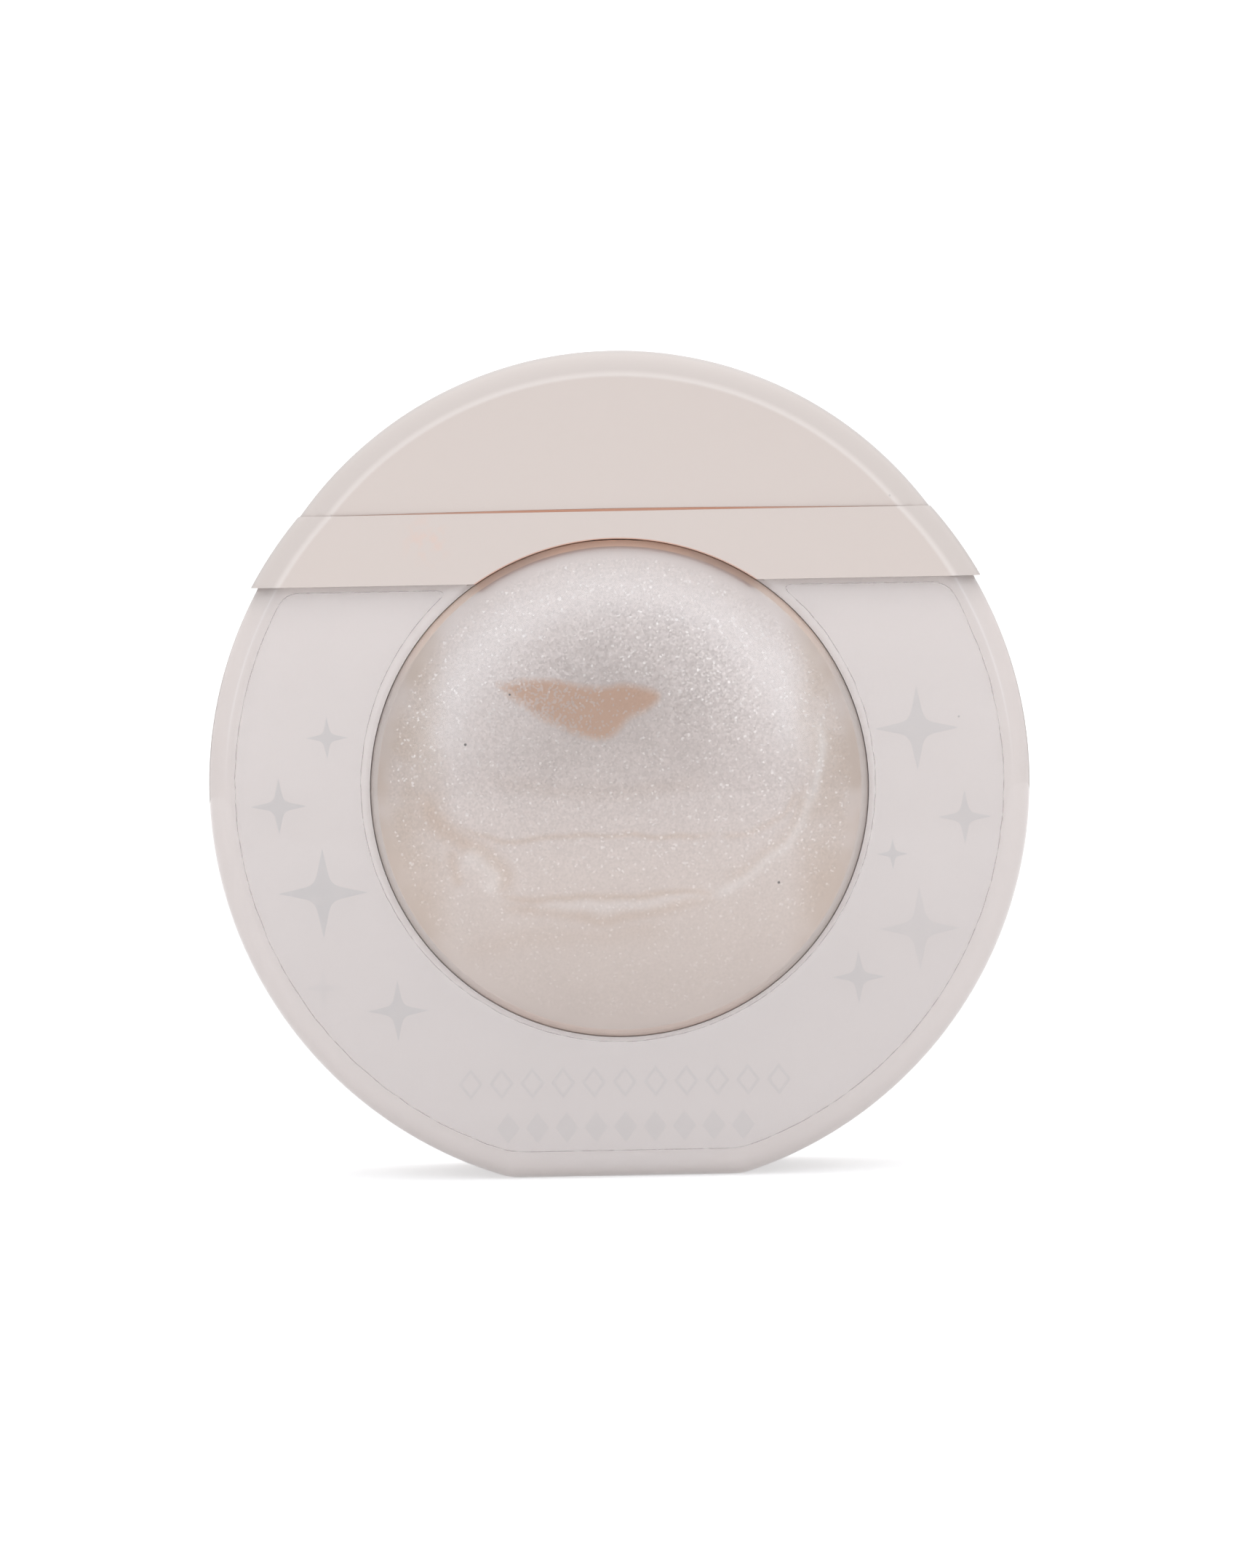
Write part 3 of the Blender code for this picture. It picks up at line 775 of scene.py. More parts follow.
def pearl_look():
    """Pearl fluid: mica flakes with painted glints, silky streaks, a warm thin patch, painted shade low down
    and at the sides, and a rim of painted warm shade.
    """
    look = Look("pearl_fluid")
    tan, pale, patch, across, up, radius, from_top = (
        look.attribute(n) for n in ("tan", "pale", "patch", "across", "up", "radius", "from_top")
    )
    cloud = look.noise(5 * MM, detail=3, distortion=1.2)
    base = look.mix(look.ramp(cloud, 0.35, 0.65), shade(PEARL_BASE, 0.98), shade(PEARL_BASE, 1.02))
    # painted shade: warmer and darker low down, and tan in patches towards the left and right edges
    base = look.mix(look.ramp(up, 2.0, -12.0), base, PEARL_LOW_SHADE)
    side_shade = look.ramp(look.math("ABSOLUTE", across), 12.4, 15.8)
    patchy = look.ramp(look.noise(4 * MM, detail=2), 0.3, 0.6, 0.45, 1.0)
    base = look.mix(look.times(side_shade, patchy, 0.8), base, PEARL_SIDE_SHADE)
    base = look.mix(look.times(tan, 0.85), base, STREAK_TAN)
    base = look.mix(look.times(pale, 0.6), base, PEARL_PALE)

    flake = look.cells(FLAKE_SIZE)
    hue = look.node("ShaderNodeSeparateColor", Color=flake).outputs
    # painted glints: the pale flakes and the flakes' tone show less low down, where less light catches them,
    # and not at the rim
    flake_light = look.times(look.ramp(radius, 17.6, 18.3, 1.0, 0.0), look.ramp(up, -14.0, 0.0, 0.45, 1.0))
    painted_glint = look.times(look.ramp(hue[0], 0.92, 1.0), flake_light)
    base = look.mix(look.times(painted_glint, 0.55), base, shade(PEARL_PALE, 1.15))
    grain = look.times(look.minus(hue[1], 0.55), look.times(flake_light, FLAKE_TONE))
    base = look.scale(base, look.plus(grain, 1.0))

    silver_left = look.ramp(across, -9.0, 3.0, 0.55, 0.0)
    through = look.step(hue[2], look.minus(1.0, silver_left))
    bare = look.times(patch, look.minus(1.0, look.times(through, 0.6)))
    base = look.mix(look.times(bare, 0.95), base, BUBBLE_BROWN)
    speck = look.math("LESS_THAN", look.cells(3.6 * MM, "Distance"), 0.030)
    base = look.mix(look.times(speck, 0.8), base, SPECK_DARK)

    # painted warm shade round the fluid's edge, warmest under the arch at the top
    edge = look.mix(look.ramp(from_top, 12.0, 21.0), RIM_SHADE_TOP, RIM_SHADE_SHOULDER)
    edge = look.mix(look.ramp(from_top, 45.0, 70.0), edge, RIM_SHADE_SIDE)
    edge = look.mix(look.ramp(from_top, 130.0, 160.0), edge, RIM_SHADE_BOTTOM)
    rim_shade = look.ramp(radius, RIM_INNER_R - 0.06, RIM_INNER_R + 0.06)
    base = look.mix(rim_shade, base, edge)

    tilt = look.vector("SUBTRACT", flake, (0.5, 0.5, 0.5))
    silk = look.bump(look.noise(4.0 * MM, detail=1, distortion=0.4), 0.03 * MM)
    tilted = look.vector("ADD", silk, look.scale(tilt, look.times(flake_light, FLAKE_TILT)))
    metal = look.minus(PEARL_METAL, look.times(patch, 0.7 * PEARL_METAL))
    look.set(
        Base_Color=base,
        Metallic=look.times(metal, look.minus(1.0, rim_shade)),
        Roughness=look.ramp(cloud, 0.3, 0.7, PEARL_ROUGH - 0.02, PEARL_ROUGH + 0.02),
        Normal=look.vector("NORMALIZE", tilted),
    )
    return look.material


def make_fluid():
    """The filling: it wets the whole inside of the domes, so it reaches just into their walls."""
    front = dome_skin(FLUID_UNDER, steps=150)
    profile = front + [(r, -h) for r, h in front[::-1]]
    fluid = lathe("pearl_highlighter", profile, steps=420, along="Y")
    paint_fluid(fluid)
    fluid.data.shade_smooth()
    return finish_piece(fluid, "pack", "pearl_fluid", pearl_look(), "highlighter_fluid")


def make_reservoir():
    """Both clear domes and what fills them."""
    clear = clear_plastic("clear_dome", CLEAR, roughness=0.015)
    finish_piece(make_dome("clear_front_dome"), "pack", "clear_dome", clear, "reservoir_front")
    finish_piece(turn_round(make_dome("clear_rear_dome")), "pack", "clear_dome", clear, "reservoir_rear")
    make_fluid()


# ---------------------------------------------------------------- collar and cap
def painted_liner_shade(look, base):
    """Painted shade on the liner: darker low down, painted light just under the collar, and a painted shaded
    band on its rounded rim.
    """
    x, _, z = look.split(look.place())
    tone = look.mix(look.ramp(z, 12 * MM, 38 * MM), LINER_LOW_SHADE, LINER_MID_SHADE)
    tone = look.mix(look.ramp(z, 37 * MM, COLLAR_LOW.z), tone, LINER_TOP_LIGHT)
    rim_shade = look.ramp(look.radius(x, z, BODY_CENTRE_Z), LABEL_R - 0.4 * MM, LABEL_R + 0.6 * MM)
    return look.mix(rim_shade, look.multiply(base, tone), LINER_RIM_SHADE)


def painted_edge_light(look, base, radius, centre_z):
    """Painted light on a disc's moulded edge: a painted highlight along the crease, a painted grey reflection
    on the rounded edge outside it and painted shade at its outermost part.
    """
    x, _, z = look.split(look.place())
    inset = look.minus(radius, look.radius(x, z, centre_z))
    outer_side = look.ramp(inset, EDGE_WIDTH - 0.45 * MM, EDGE_WIDTH - 0.05 * MM)
    inner_side = look.ramp(inset, EDGE_WIDTH, EDGE_WIDTH + 0.25 * MM, 1.0, 0.0)
    edge = look.ramp(inset, EDGE_WIDTH, EDGE_WIDTH - 0.5 * MM)
    base = look.mix(edge, base, look.multiply(base, EDGE_REFLECTION_TINT))
    base = look.mix(look.times(outer_side, inner_side, 0.35), base, CREASE_HIGHLIGHT)
    return look.mix(look.ramp(inset, 0.35 * MM, 0.0), base, look.multiply(base, RIM_EDGE_SHADE))


def cap_edge_light(look, base):
    """The cap's painted crease highlight and edge shade."""
    return painted_edge_light(look, base, CAP_R, CAP_CENTRE_Z)


def painted_collar_light_and_smudge(look, base):
    """Painted light on the collar: the edges' painted highlight and shade, and painted warm shade on the lip
    in the seam and round the window's arch; behind is a faint smudge.
    """
    x, y, z = look.split(look.place())
    base = painted_edge_light(look, base, COLLAR_R, BODY_CENTRE_Z)
    lip = look.times(look.step(z, COLLAR_TOP_Z + 0.01 * MM), look.step(COLLAR_TOP_Z + 0.5 * MM, z))
    gap_shade = look.mix(look.ramp(look.math("ABSOLUTE", x), 6 * MM, 20 * MM), WARM_GAP_SHADE, WARM_GAP_SHADE_PALE)
    radius = look.radius(x, z, WINDOW_CENTRE_Z)
    # painted warm shade round the window's arch
    arch = look.ramp(radius, WINDOW_R + 0.03 * MM, WINDOW_R + 0.12 * MM, 0.8, 0.0)
    base = look.mix(look.math("MAXIMUM", lip, arch), base, gap_shade)
    near = look.ramp(look.radius(look.minus(x, SMUDGE_X), z, SMUDGE_Z), 0.4 * MM, SMUDGE_R, 0.35, 0.0)
    near = look.times(near, look.ramp(look.noise(1.1 * MM, detail=3), 0.4, 0.65))
    return look.mix(look.times(near, look.step(0.0, y)), base, SMUDGE_PEACH)


def cut_along(bm, half_width, count):
    """Cut a bmesh by evenly spaced upright planes, so that a long edge can be bowed."""
    for i in range(1, count):
        x = half_width * (2 * i / count - 1)
        geometry = bm.verts[:] + bm.edges[:] + bm.faces[:]
        bmesh.ops.bisect_plane(bm, geom=geometry, plane_co=(x, 0, 0), plane_no=(1, 0, 0))


def bow(piece, level, half_width, at_ends, at_middle):
    """Move a piece's flat edge at one level to a shallow arc, higher at the middle than at the ends."""
    bm = bmesh.new()
    bm.from_mesh(piece.data)
    cut_along(bm, half_width, 24)
    for vert in bm.verts:
        if abs(vert.co.z - level) < 0.01 * MM:
            share = (1 - min(1.0, abs(vert.co.x) / half_width) ** 2) ** 1.5
            vert.co.z = at_ends + (at_middle - at_ends) * share
    bm.to_mesh(piece.data)
    bm.free()
    return piece


def make_lip():
    """The low lip on the collar's top, just behind the seam, a hair short of the cap's edge; the seam's
    painted warm shade shows on it.
    """
    back = CAP_HIGH.y - LIP_INSET
    lip = disc("tool", CAP_R, CAP_CENTRE_Z, creased_profile(back), LIP_INSET)
    inner = back - LIP_WALL
    profile = edge_profile(-inner, inner, EDGE_ROUND, EDGE_ROUND)
    hollow = disc("tool", CAP_R, CAP_CENTRE_Z, profile, LIP_INSET + LIP_WALL)
    top = COLLAR_TOP_Z + LIP_CUT
    combine(lip, (CUT, hollow), (CUT, above(top)), (CUT, below(COLLAR_TOP_Z - LIP_CUT)))
    middle = COLLAR_TOP_Z + SEAM_AT_MIDDLE - LIP_SHORT
    return bow(lip, top, CAP_HIGH.x, COLLAR_TOP_Z + LIP_AT_ENDS, middle)


def make_lugs():
    """The two guide lugs: arcs of a thin wall just inside the cap."""
    inset = CAP_WALL + CAP_CLEARANCE
    outer_y = CAP_HIGH.y - inset
    inner_y = outer_y - LUG_WALL
    lugs = disc("tool", CAP_R - inset, CAP_CENTRE_Z, edge_profile(-outer_y, outer_y, LUG_ROUND, LUG_ROUND))
    hollow = disc("tool", CAP_R - inset - LUG_WALL, CAP_CENTRE_Z, edge_profile(-inner_y, inner_y))
    gap = block("tool", (-LUG_GAP_HALF_X, -WAY_OFF, 0), (LUG_GAP_HALF_X, WAY_OFF, WAY_OFF))
    inside_deck = below(COLLAR_TOP_Z - DECK_THICKNESS / 2)
    return combine(lugs, (CUT, hollow), (CUT, gap), (CUT, above(LUG_TOP_Z)), (CUT, inside_deck))


def make_reveals(inner_y):
    """The band round each window's arch, from the collar's wall inwards."""
    end_y = inner_y + REVEAL_OVERLAP
    reveals = round_tool(WINDOW_R + REVEAL_WALL, -end_y, end_y)
    middle = round_tool(WINDOW_R + 2 * REVEAL_WALL, -REVEAL_END_Y, REVEAL_END_Y)
    return combine(reveals, (CUT, middle), (CUT, below(COLLAR_LOW.z)))


def make_collar():
    """The fixed band: deck, arches over the windows, the lip in the seam and the two guide lugs."""
    collar = disc("beige_collar_band", COLLAR_R, BODY_CENTRE_Z, creased_profile(COLLAR_HIGH.y))
    inner_y = -SHELL_LOW.y - BODY_WALL
    hollow = disc("tool", BODY_R - BODY_WALL, BODY_CENTRE_Z, edge_profile(-inner_y, inner_y))
    combine(hollow, (CUT, above(COLLAR_TOP_Z - DECK_THICKNESS)))
    combine(
        collar, (CUT, above(COLLAR_TOP_Z)), (CUT, below(COLLAR_LOW.z)), (CUT, hollow),
        (JOIN, make_reveals(inner_y)), (JOIN, make_lugs()), (JOIN, make_lip()),
        (CUT, round_tool(WINDOW_R)), (CUT, spout_bore(COLLAR_BORE_Z)),
    )
    soften(collar, COLLAR_BREAK)
    smooth(collar)
    look = moulded_plastic("beige_collar", BEIGE, tint=painted_collar_light_and_smudge)
    return finish_piece(collar, "pack", "beige_collar", look, "collar")


def make_cap():
    """The cap's shell. Its lower edge bows up a little at the middle, so that the seam opens there."""
    cap = disc("beige_cap_shell", CAP_R, CAP_CENTRE_Z, creased_profile(CAP_HIGH.y))
    inner_y, inner_round = CAP_HIGH.y - CAP_WALL, EDGE_ROUND - CAP_WALL
    profile = edge_profile(-inner_y, inner_y, inner_round, inner_round)
    hollow = disc("tool", CAP_R - CAP_WALL, CAP_CENTRE_Z, profile)
    low = COLLAR_TOP_Z + SEAM_AT_ENDS
    combine(cap, (CUT, hollow), (CUT, below(low)))
    bow(cap, low, CAP_HIGH.x, low, COLLAR_TOP_Z + SEAM_AT_MIDDLE)
    soften(cap, CAP_BREAK)
    smooth(cap)
    look = moulded_plastic("beige_cap", BEIGE, tint=cap_edge_light)
    return finish_piece(cap, "cap", "beige_cap", look, "cap_shell")


def make_sleeve():
    """The cap's inner sleeve, with a small lead-in at its mouth."""
    outer_r, top, low = SLEEVE_HIGH.x, SLEEVE_HIGH.z, SLEEVE_LOW.z
    inner_r, lead = outer_r - SLEEVE_WALL, 0.2 * MM
    sleeve = lathe("cap_inner_sleeve", [
        (0, top), (outer_r - lead, top), (outer_r, top - lead), (outer_r, low + lead / 2),
        (outer_r - lead / 2, low), (inner_r + lead, low), (inner_r, low + lead),
        (inner_r, top - SLEEVE_WALL - lead), (inner_r - lead, top - SLEEVE_WALL), (0, top - SLEEVE_WALL),
    ])
    smooth(sleeve)
    look = moulded_plastic("natural_plastic", NATURAL, 0.4)
    return finish_piece(sleeve, "cap", "natural_plastic", look, "cap_sleeve")


# ---------------------------------------------------------------- applicator
def make_cup():
    """The cup that holds the sponge, with a rolled lip."""
    outer_r, top, low = CUP_HIGH.x, CUP_HIGH.z, CUP_LOW.z
    inner_r, half = outer_r - CUP_WALL, CUP_WALL / 2
    lip = [
        (outer_r - half + half * math.cos(t), top - half + half * math.sin(t))
        for t in np.linspace(math.pi, 0, 9)
    ]
    cup = lathe("sponge_holder", lip + [
        (outer_r, low), (inner_r, low), (inner_r, CUP_FLOOR_Z), (CUP_HOLE_R, CUP_FLOOR_Z),
        (CUP_HOLE_R, CUP_FLOOR_TOP_Z), (inner_r, CUP_FLOOR_TOP_Z),
    ])
    smooth(cup)
    look = moulded_plastic("warm_plastic", WARM_PLASTIC, 0.4)
    return finish_piece(cup, "pack", "warm_plastic", look, "sponge_cup")


def foam_look():
    """Fine open foam: pores at two sizes with painted shade in them, dry and dull, with a faint stain of
    pearl at its crown.
    """
    look = Look("sponge_foam")
    pores = look.ramp(look.cells(0.28 * MM, "Distance"), 0.10, 0.45)
    fine = look.ramp(look.cells(0.13 * MM, "Distance"), 0.10, 0.45)
    tone = look.plus(look.times(pores, 0.6), look.times(fine, 0.4))
    # painted shade in the pores, which are darker
    base = look.mix(tone, shade(FOAM, 0.62), shade(FOAM, 1.05))
    crown = look.ramp(look.split(look.place())[2], 58.2 * MM, 59.9 * MM)
    stain = look.times(crown, look.ramp(look.noise(1.6 * MM, detail=3), 0.4, 0.65))
    base = look.mix(look.times(stain, 0.55), base, shade(PEARL_PALE, 1.05))
    look.set(
        Base_Color=base,
        Roughness=look.ramp(tone, 0.2, 0.9, 0.98, 0.86),
        Normal=look.bump(tone, 0.10 * MM, 0.8),
        Sheen_Weight=0.25,
        Sheen_Roughness=0.5,
    )
    return look.material


def make_sponge():
    """The domed sponge: a turned form whose skin is pitted with pores."""
    low, high, r = SPONGE_LOW.z, SPONGE_HIGH.z, SPONGE_HIGH.x
    stem_r, shoulder = CUP_HIGH.x - CUP_WALL - 0.3 * MM, CUP_HIGH.z + 0.3 * MM
    equator = shoulder + (high - shoulder) / 4
    inset = 0.08 * MM
    crown = [(x - inset * min(1, x / r), z - inset) for x, z in dome_arc(r, equator, high, steps=44)]
    cheek = [(r - inset, equator - inset - (equator - shoulder) * t) for t in (0.35, 0.7)]
    tuck = [
        (r - inset - 0.15 * MM, shoulder), (stem_r + 0.1 * MM, shoulder - 0.05 * MM),
        (stem_r, shoulder - 0.2 * MM),
    ]
    stem = [(stem_r, low + (shoulder - low) * t) for t in (0.7, 0.35, 0.0)]
    sponge = lathe("applicator_pad", crown + cheek + tuck + stem + [(0, low)], steps=180)
    for vert in sponge.data.vertices:
        if vert.co.z > shoulder + 0.1 * MM:
            out = Vector((vert.co.x, vert.co.y, vert.co.z - equator)).normalized()
            grain = noise.noise(vert.co / (0.35 * MM)) * 0.045 + noise.noise(vert.co / (2.5 * MM)) * 0.035
            vert.co += out * grain * MM
    sponge.data.shade_smooth()
    return finish_piece(sponge, "pack", "sponge_foam", foam_look(), "applicator_sponge")


# ---------------------------------------------------------------- labels and print
def film_look():
    """Thin clear film: a faint haze with a soft gloss."""
    look = Look("label_film")
    haze = look.noise(7 * MM, detail=3, distortion=0.8)
    look.set(
        Base_Color=look.mix(haze, shade(FILM, 0.96), shade(FILM, 1.02)),
        Roughness=look.ramp(haze, 0.3, 0.7, 0.22, 0.30),
        Normal=look.bump(look.noise(4 * MM, detail=1), 0.02 * MM),
        Alpha=FILM_HAZE,
    )
    return look.material


def film_edge_look():
    """The film's cut edge, with a little dust along it."""
    look = Look("film_edge")
    dust = look.ramp(look.noise(1.1 * MM, detail=3), 0.35, 0.65)
    look.set(
        Base_Color=look.mix(dust, shade(FILM_EDGE, 0.75), shade(FILM_EDGE, 1.25)),
        Roughness=look.ramp(dust, 0.0, 1.0, 0.4, 0.8),
        Alpha=look.ramp(dust, 0.0, 1.0, 0.15, 0.6),
    )
    return look.material


def rounded_corner(before, corner, after, steps=6):
    """Points of a soft corner between a point before it and a point after it."""
    b, c, a = (np.array(point) for point in (before, corner, after))
    return [tuple((1 - t) ** 2 * b + 2 * t * (1 - t) * c + t**2 * a) for t in np.linspace(0, 1, steps + 1)]


def label_outline():
    """The film's closed (x, z) outline: round outside and at the window, straight at the top and bottom."""
    low, top = LABEL_LOW.z, LABEL_HIGH.z
    slip, middle_z = LABEL_SLIP_X, WINDOW_CENTRE_Z + LABEL_SLIP_Z

    def outer(t):
        return (LABEL_R * math.sin(t), BODY_CENTRE_Z - LABEL_R * math.cos(t))

    def window(t):
        return (slip + LABEL_WINDOW_R * math.sin(t), middle_z + LABEL_WINDOW_R * math.cos(t))

    start = math.acos((BODY_CENTRE_Z - low) / LABEL_R)
    end = math.pi - math.acos((top - BODY_CENTRE_Z) / LABEL_R)
    reach = math.acos((top - middle_z) / LABEL_WINDOW_R)
    turn = LABEL_CORNER / LABEL_R
    tuck = LABEL_CORNER / LABEL_WINDOW_R
    foot, brow, gap = outer(start), outer(end), window(reach)
    right = rounded_corner((foot[0] - LABEL_CORNER, low), foot, outer(start + turn))
    right += [outer(t) for t in np.linspace(start + turn, end - turn, 120)[1:-1]]
    right += rounded_corner(outer(end - turn), brow, (brow[0] - LABEL_CORNER, top))
    right += rounded_corner((gap[0] + LABEL_CORNER, top), gap, window(reach + tuck))
    inner = [window(t) for t in np.linspace(reach + tuck, 2 * math.pi - reach - tuck, 200)[1:-1]]
    left = [(2 * slip - x if i >= len(right) - 7 else -x, z) for i, (x, z) in enumerate(right)]
    return right + inner + left[::-1]


def flat_plate(name, outline, front_y, back_y):
    """A thin plate of an (x, z) outline between two depths."""
    return slab(name, lambda inset: outline, [(0, front_y), (0, back_y)])


def bead(name, outline, y, radius):
    """A fine line along a closed outline, lying on a face."""
    curve = bpy.data.curves.new(name, "CURVE")
    curve.dimensions = "3D"
    curve.bevel_depth = radius
    curve.bevel_resolution = 1
    spline = curve.splines.new("POLY")
    spline.points.add(len(outline) - 1)
    for point, (x, z) in zip(spline.points, outline):
        wobble = 0.05 * MM * noise.noise(Vector((x, z, 0)) / (1.3 * MM))
        point.co = (x + wobble, y, z + wobble, 1)
    spline.use_cyclic_u = True
    return bake_curve(add_object(name, curve))


def bake_curve(made):
    """Turn a curve object into a mesh object of the same name."""
    bpy.context.view_layer.update()
    mesh = bpy.data.meshes.new_from_object(made.evaluated_get(bpy.context.evaluated_depsgraph_get()))
    name = made.name
    bpy.data.objects.remove(made)
    return add_object(name, mesh)


# Printed sparkles: (x, height above the body's centre, half span in millimetres, how much ink is left)
SPARKLES = [
    (-22.66, 3.99, 1.65, 1.0), (-26.5, -1.28, 2.2, 1.0), (-23.2, -8.08, 3.5, 1.0), (-23.3, -15.48, 1.5, 0.3),
    (-17.56, -17.37, 2.4, 0.9), (23.19, 3.92, 3.3, 0.8), (26.8, -3.04, 2.1, 0.8), (21.15, -5.83, 1.25, 0.9),
    (23.15, -11.68, 3.25, 0.5), (18.35, -15.37, 2.1, 0.8),
]
# Rows of lozenges below the window: (height, the row's half width, half height, count, stroke or 0 if solid)
LOZENGE_ROWS = [(-23.2, 13.2, 1.25, 11, 0.24), (-26.7, 10.3, 1.20, 9, 0)]
# A sparkle's side from an arm's tip to the notch between two arms, for a half span of 1
SPARKLE_SIDE = [
    (1.0, 0.0), (0.75, 0.056), (0.55, 0.100), (0.40, 0.132), (0.32, 0.158), (0.262, 0.192), (0.225, 0.225),
]


def star_outline(x, z, span):
    """A slim four-pointed sparkle: straight tapering arms with small hollows between them."""
    quarter = SPARKLE_SIDE + [(b, a) for a, b in SPARKLE_SIDE[-2:0:-1]]
    points = []
    for turn in range(4):
        c, s = round(math.cos(turn * math.pi / 2)), round(math.sin(turn * math.pi / 2))
        for a, b in quarter:
            right, up = span * (c * a - s * b), span * (s * a + c * b)
            points.append(((x + right) * MM, BODY_CENTRE_Z + (z + up) * MM))
    return points


def lozenge_outline(x, z, half_width, half_height):
    """An upright lozenge."""
    corners = [(half_width, 0), (0, half_height), (-half_width, 0), (0, -half_height)]
    return [((x + a) * MM, BODY_CENTRE_Z + (z + b) * MM) for a, b in corners]


def ring_plate(name, outer, inner, front_y, back_y):
    """A thin plate between two outlines with the same number of points."""
    bm = bmesh.new()
    loops = [
        [bm.verts.new((x, y, z)) for x, z in outline]
        for outline, y in ((outer, front_y), (inner, front_y), (inner, back_y), (outer, back_y))
    ]
    join_rings(bm, loops + loops[:1])
    return from_bmesh(name, bm)


def join(name, pieces):
    """Several objects' meshes in one object."""
    bm = bmesh.new()
    for piece in pieces:
        bm.from_mesh(piece.data)
        bpy.data.objects.remove(piece)
    return from_bmesh(name, bm)


def silver_look():
    """Silver-grey ink on the liner: finely broken, and thinner where it has rubbed off."""
    look = Look("silver_print")
    # the bare liner, with the same painted shade and light
    bare = painted_liner_shade(look, shade(BEIGE_LINER, 1.0))
    grain = look.noise(0.12 * MM, detail=2)
    worn = look.noise(0.9 * MM, detail=3)
    silver = look.mix(look.ramp(grain, 0.35, 0.65), shade(SILVER_TINT, 0.98), shade(SILVER_TINT, 1.02))
    ink = look.multiply(bare, silver)
    cover = look.times(look.attribute("ink"), look.ramp(worn, 0.25, 0.6, 0.8 * INK_COVER, INK_COVER))
    look.set(
        Base_Color=look.mix(cover, bare, ink),
        Roughness=look.ramp(grain, 0.3, 0.7, 0.42, 0.52),
        Normal=look.bump(grain, 0.001 * MM),
    )
    return look.material


def make_print(name):
    """The silver sparkles, and two rows of plain lozenges below the window."""
    back = SHELL_LOW.y + BODY_WALL - BOND - INK_OFF      # just in front of the liner, inside the clear wall
    front = back - INK_THICKNESS
    parts = []
    for x, z, span, ink in SPARKLES:
        parts.append((flat_plate("ink", star_outline(x, z, span), front, back), ink))
    for z, half_row, half_height, count, stroke in LOZENGE_ROWS:
        pitch = 2 * half_row / count
        half_width = 0.40 * pitch
        for i in range(count):
            x = -half_row + pitch * (i + 0.5)
            outer = lozenge_outline(x, z, half_width, half_height)
            if stroke:
                shrink = 1 - stroke * math.hypot(half_width, half_height) / (half_width * half_height)
                inner = lozenge_outline(x, z, half_width * shrink, half_height * shrink)
                parts.append((ring_plate("ink", outer, inner, front, back), LOZENGE_INK))
            else:
                parts.append((flat_plate("ink", outer, front, back), LOZENGE_INK))
    for piece, ink in parts:
        store(piece, "ink", [ink] * len(piece.data.vertices))
    return join(name, [piece for piece, _ in parts])


def make_labels():
    """The film on the front and rear faces, its dusty edge, and the print on it."""
    film, edge, silver = film_look(), film_edge_look(), silver_look()
    for side in ("front", "rear"):
        plate = flat_plate(side + "_film", label_outline(), LABEL_LOW.y, LABEL_HIGH.y)
        line = bead(side + "_film_edge", label_outline(), LABEL_LOW.y, EDGE_BEAD)
        ink = make_print(side + "_sparkles")
        if side == "rear":
            for piece in (plate, line, ink):
                turn_round(piece)
        finish_piece(plate, "pack", "label_film", film, side + "_label")
        finish_piece(line, "pack", "label_film", edge)
        finish_piece(ink, "pack", "label_film", silver)


# ---------------------------------------------------------------- small inner pieces kept from the frame
def dress_inner_pieces():
    """Better materials on the CAD nodes that stay."""
    natural = moulded_plastic("spout_plastic", NATURAL, 0.4)
    seal = Look("seal_rubber")
    fine = seal.noise(0.3 * MM, detail=3)
    seal.set(
        Base_Color=seal.mix(fine, shade(RUBBER, 0.9), shade(RUBBER, 1.08)),
        Roughness=seal.ramp(fine, 0.3, 0.7, 0.6, 0.75),
        Normal=seal.bump(fine, 0.01 * MM),
    )
    for node, look in (("spout", natural), ("orifice_plug", natural), ("spout_seal", seal.material),
                       ("reservoir_gasket", seal.material), ("cap_gasket", seal.material)):
        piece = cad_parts[node]
        piece.data.materials.clear()
        piece.data.materials.append(look)


# ---------------------------------------------------------------- stage, light and camera
WHITE = (1.0, 1.0, 1.0, 1.0)
FLOOR_LOW, FLOOR_HIGH = (0.660, 0.665, 0.675, 1), (0.670, 0.675, 0.685, 1)
FLOOR_GLOW = 0.46
FLOOR_R, FLOOR_DROP = 0.6, 0.02 * MM      # the floor lies a hair under the foot
SURROUND = 0.787
# Soft panels and flags in the surround: (azimuth, elevation, sharpness, strength)
PANELS = [
    (0, 82, 2.5, 0.34), (0, 20, 30, -0.45), (0, 1, 60, 0.25), (180, 75, 4, 0.80), (34, 17, 60, 0.5),
    (180, 6, 4, 0.5), (152, 0, 60, -0.9), (-152, 0, 60, -0.9),
]
# An arch-shaped soft box round the camera's line of sight: degrees off that line, and its strength
ARCH_ANGLE, ARCH_WIDTH, ARCH_STRENGTH = 37.0, 5.0, 1.75
ARCH_TONE = (0.93, 1.0, 1.06, 1.0)

CAMERA_DISTANCE = 0.55
CAMERA_ELEVATION = 2.2
CAMERA_ROLL = 1.05
FRAME_HEIGHT = 121.85 * MM      # what the picture's height spans at the front face
AIM_X = 0.63 * MM
AIM_Z = BODY_CENTRE_Z - 0.33 * MM


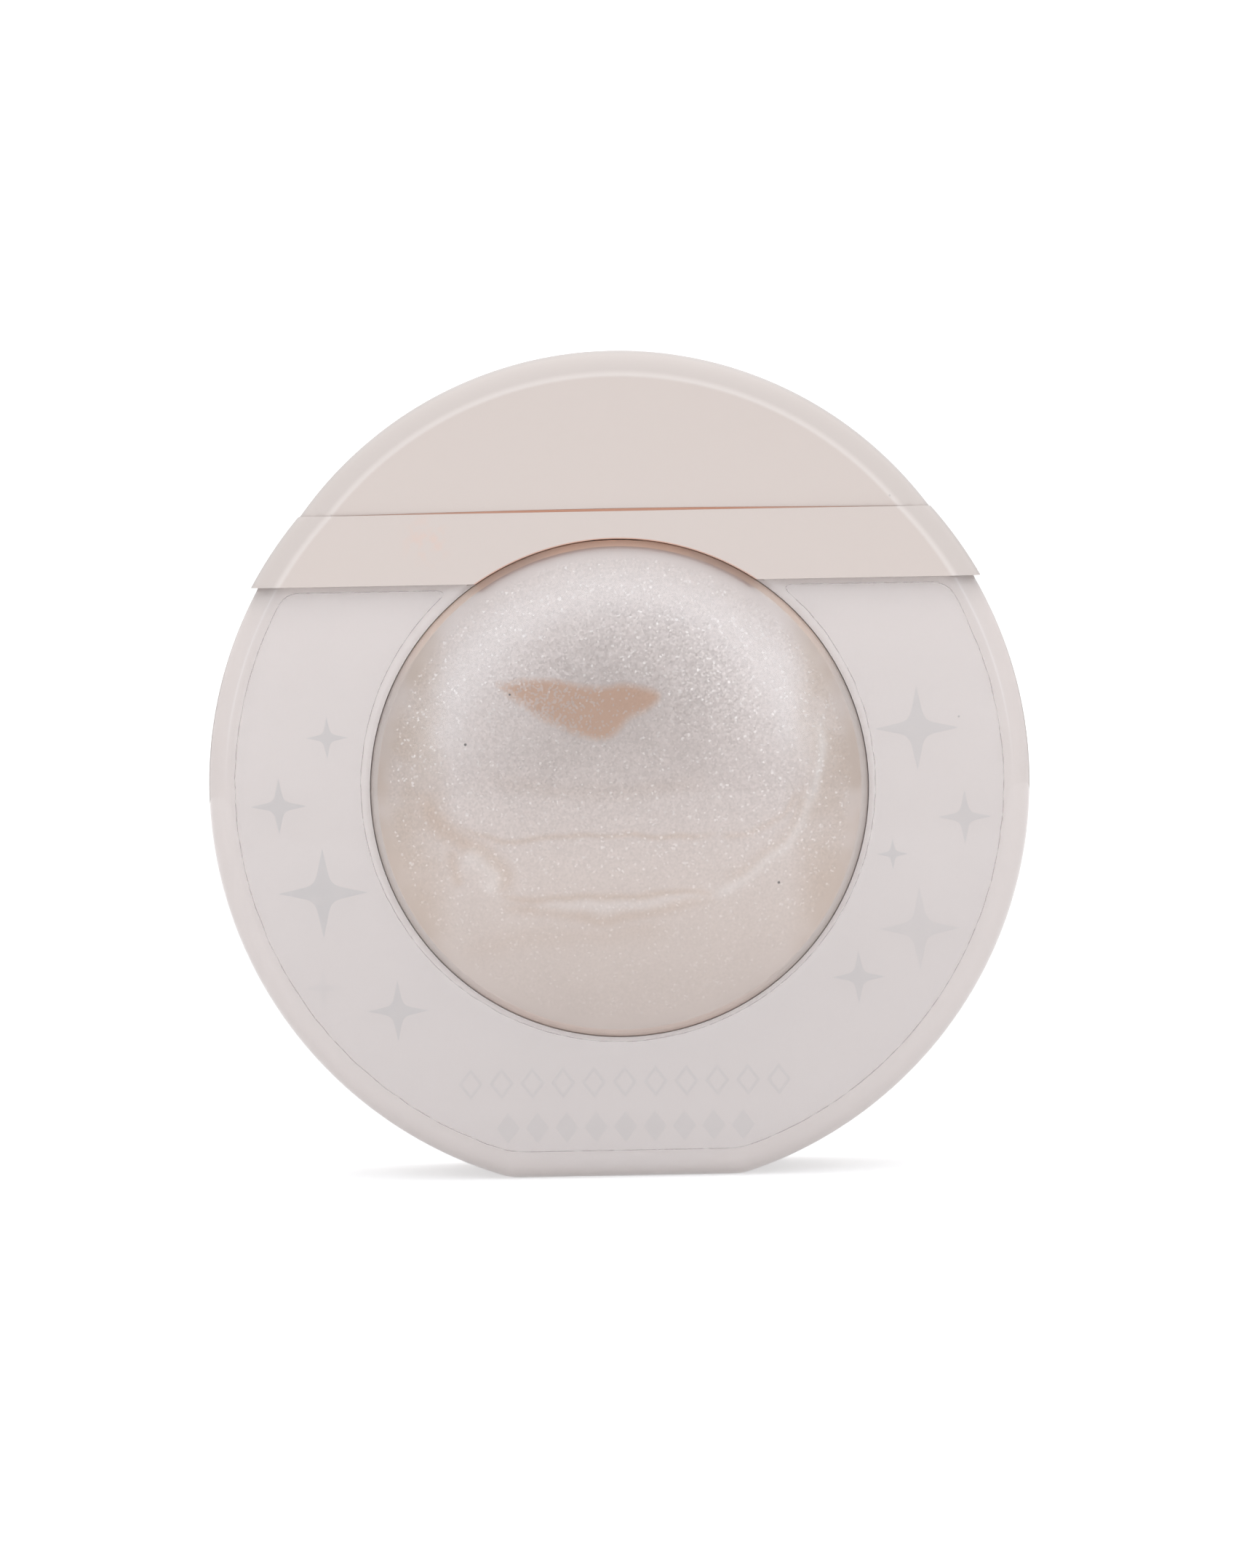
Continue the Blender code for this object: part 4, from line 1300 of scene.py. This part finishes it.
def make_stage():
    """A white table top, bright enough to run off into the white surround."""
    bm = bmesh.new()
    bmesh.ops.create_circle(bm, cap_ends=True, segments=128, radius=FLOOR_R)
    bmesh.ops.translate(bm, verts=bm.verts, vec=(0, 0, -FLOOR_DROP))
    floor = from_bmesh("floor", bm)
    look = Look("white_floor")
    look.set(
        Base_Color=look.mix(look.noise(0.4), FLOOR_LOW, FLOOR_HIGH),
        Roughness=0.9,
        Emission_Color=WHITE,
        Emission_Strength=FLOOR_GLOW,
        Specular_IOR_Level=0.2,
    )
    floor.data.materials.append(look.material)


def direction(azimuth, elevation):
    """The way towards a light: azimuth 0 is the front, +90 the right."""
    a, e = math.radians(azimuth), math.radians(elevation)
    return (math.sin(a) * math.cos(e), -math.cos(a) * math.cos(e), math.sin(e))


def make_light():
    """A white tent: soft panels above and beside the camera, a lit backdrop and a dark flag each side."""
    world = bpy.data.worlds.new("white_tent")
    bpy.context.scene.world = world
    world.use_nodes = True
    sky = Nodes(world.node_tree)
    background = sky.tree.nodes["Background"]
    way = sky.node("ShaderNodeTexCoord").outputs["Generated"]

    def towards(azimuth, elevation):
        return sky.vector("DOT_PRODUCT", way, direction(azimuth, elevation))

    total = SURROUND
    for azimuth, elevation, sharpness, strength in PANELS:
        facing = sky.math("MAXIMUM", towards(azimuth, elevation), 0.0)
        total = sky.plus(sky.times(sky.math("POWER", facing, sharpness), strength), total)
    spread = sky.math("ARCCOSINE", towards(0, 0))
    off = sky.math("DIVIDE", sky.minus(spread, math.radians(ARCH_ANGLE)), math.radians(ARCH_WIDTH))
    band = sky.math("EXPONENT", sky.times(off, off, -1.0))
    height = sky.times(sky.plus(towards(0, 90), 0.05), 6.0)
    share = sky.math("MAXIMUM", sky.math("MINIMUM", height, 1.0), 0.0)
    arch = sky.times(band, share, ARCH_STRENGTH)
    sky.plug(background.inputs["Strength"], sky.plus(total, arch))
    sky.plug(background.inputs["Color"], sky.mix(sky.math("MINIMUM", arch, 1.0), WHITE, ARCH_TONE))


def make_camera():
    """A long lens, nearly level with the pack, rolled by a degree."""
    data = bpy.data.cameras.new("camera")
    data.sensor_fit = "VERTICAL"
    data.sensor_height = 36.0
    face_distance = CAMERA_DISTANCE + SHELL_LOW.y
    data.lens = data.sensor_height * face_distance / FRAME_HEIGHT
    data.clip_start = 0.01
    camera = add_object("camera", data)
    aim = Vector((AIM_X, 0, AIM_Z))
    camera.location = aim + CAMERA_DISTANCE * Vector(direction(0, CAMERA_ELEVATION))
    look_at = (aim - camera.location).to_track_quat("-Z", "Y").to_matrix()
    camera.rotation_euler = (look_at @ Matrix.Rotation(math.radians(-CAMERA_ROLL), 3, "Z")).to_euler()
    bpy.context.scene.camera = camera


make_camera()
make_body()
make_reservoir()
make_collar()
make_cap()
make_sleeve()
make_cup()
make_sponge()
make_labels()
dress_inner_pieces()
make_stage()
make_light()
bpy.context.scene.view_settings.view_transform = "Standard"
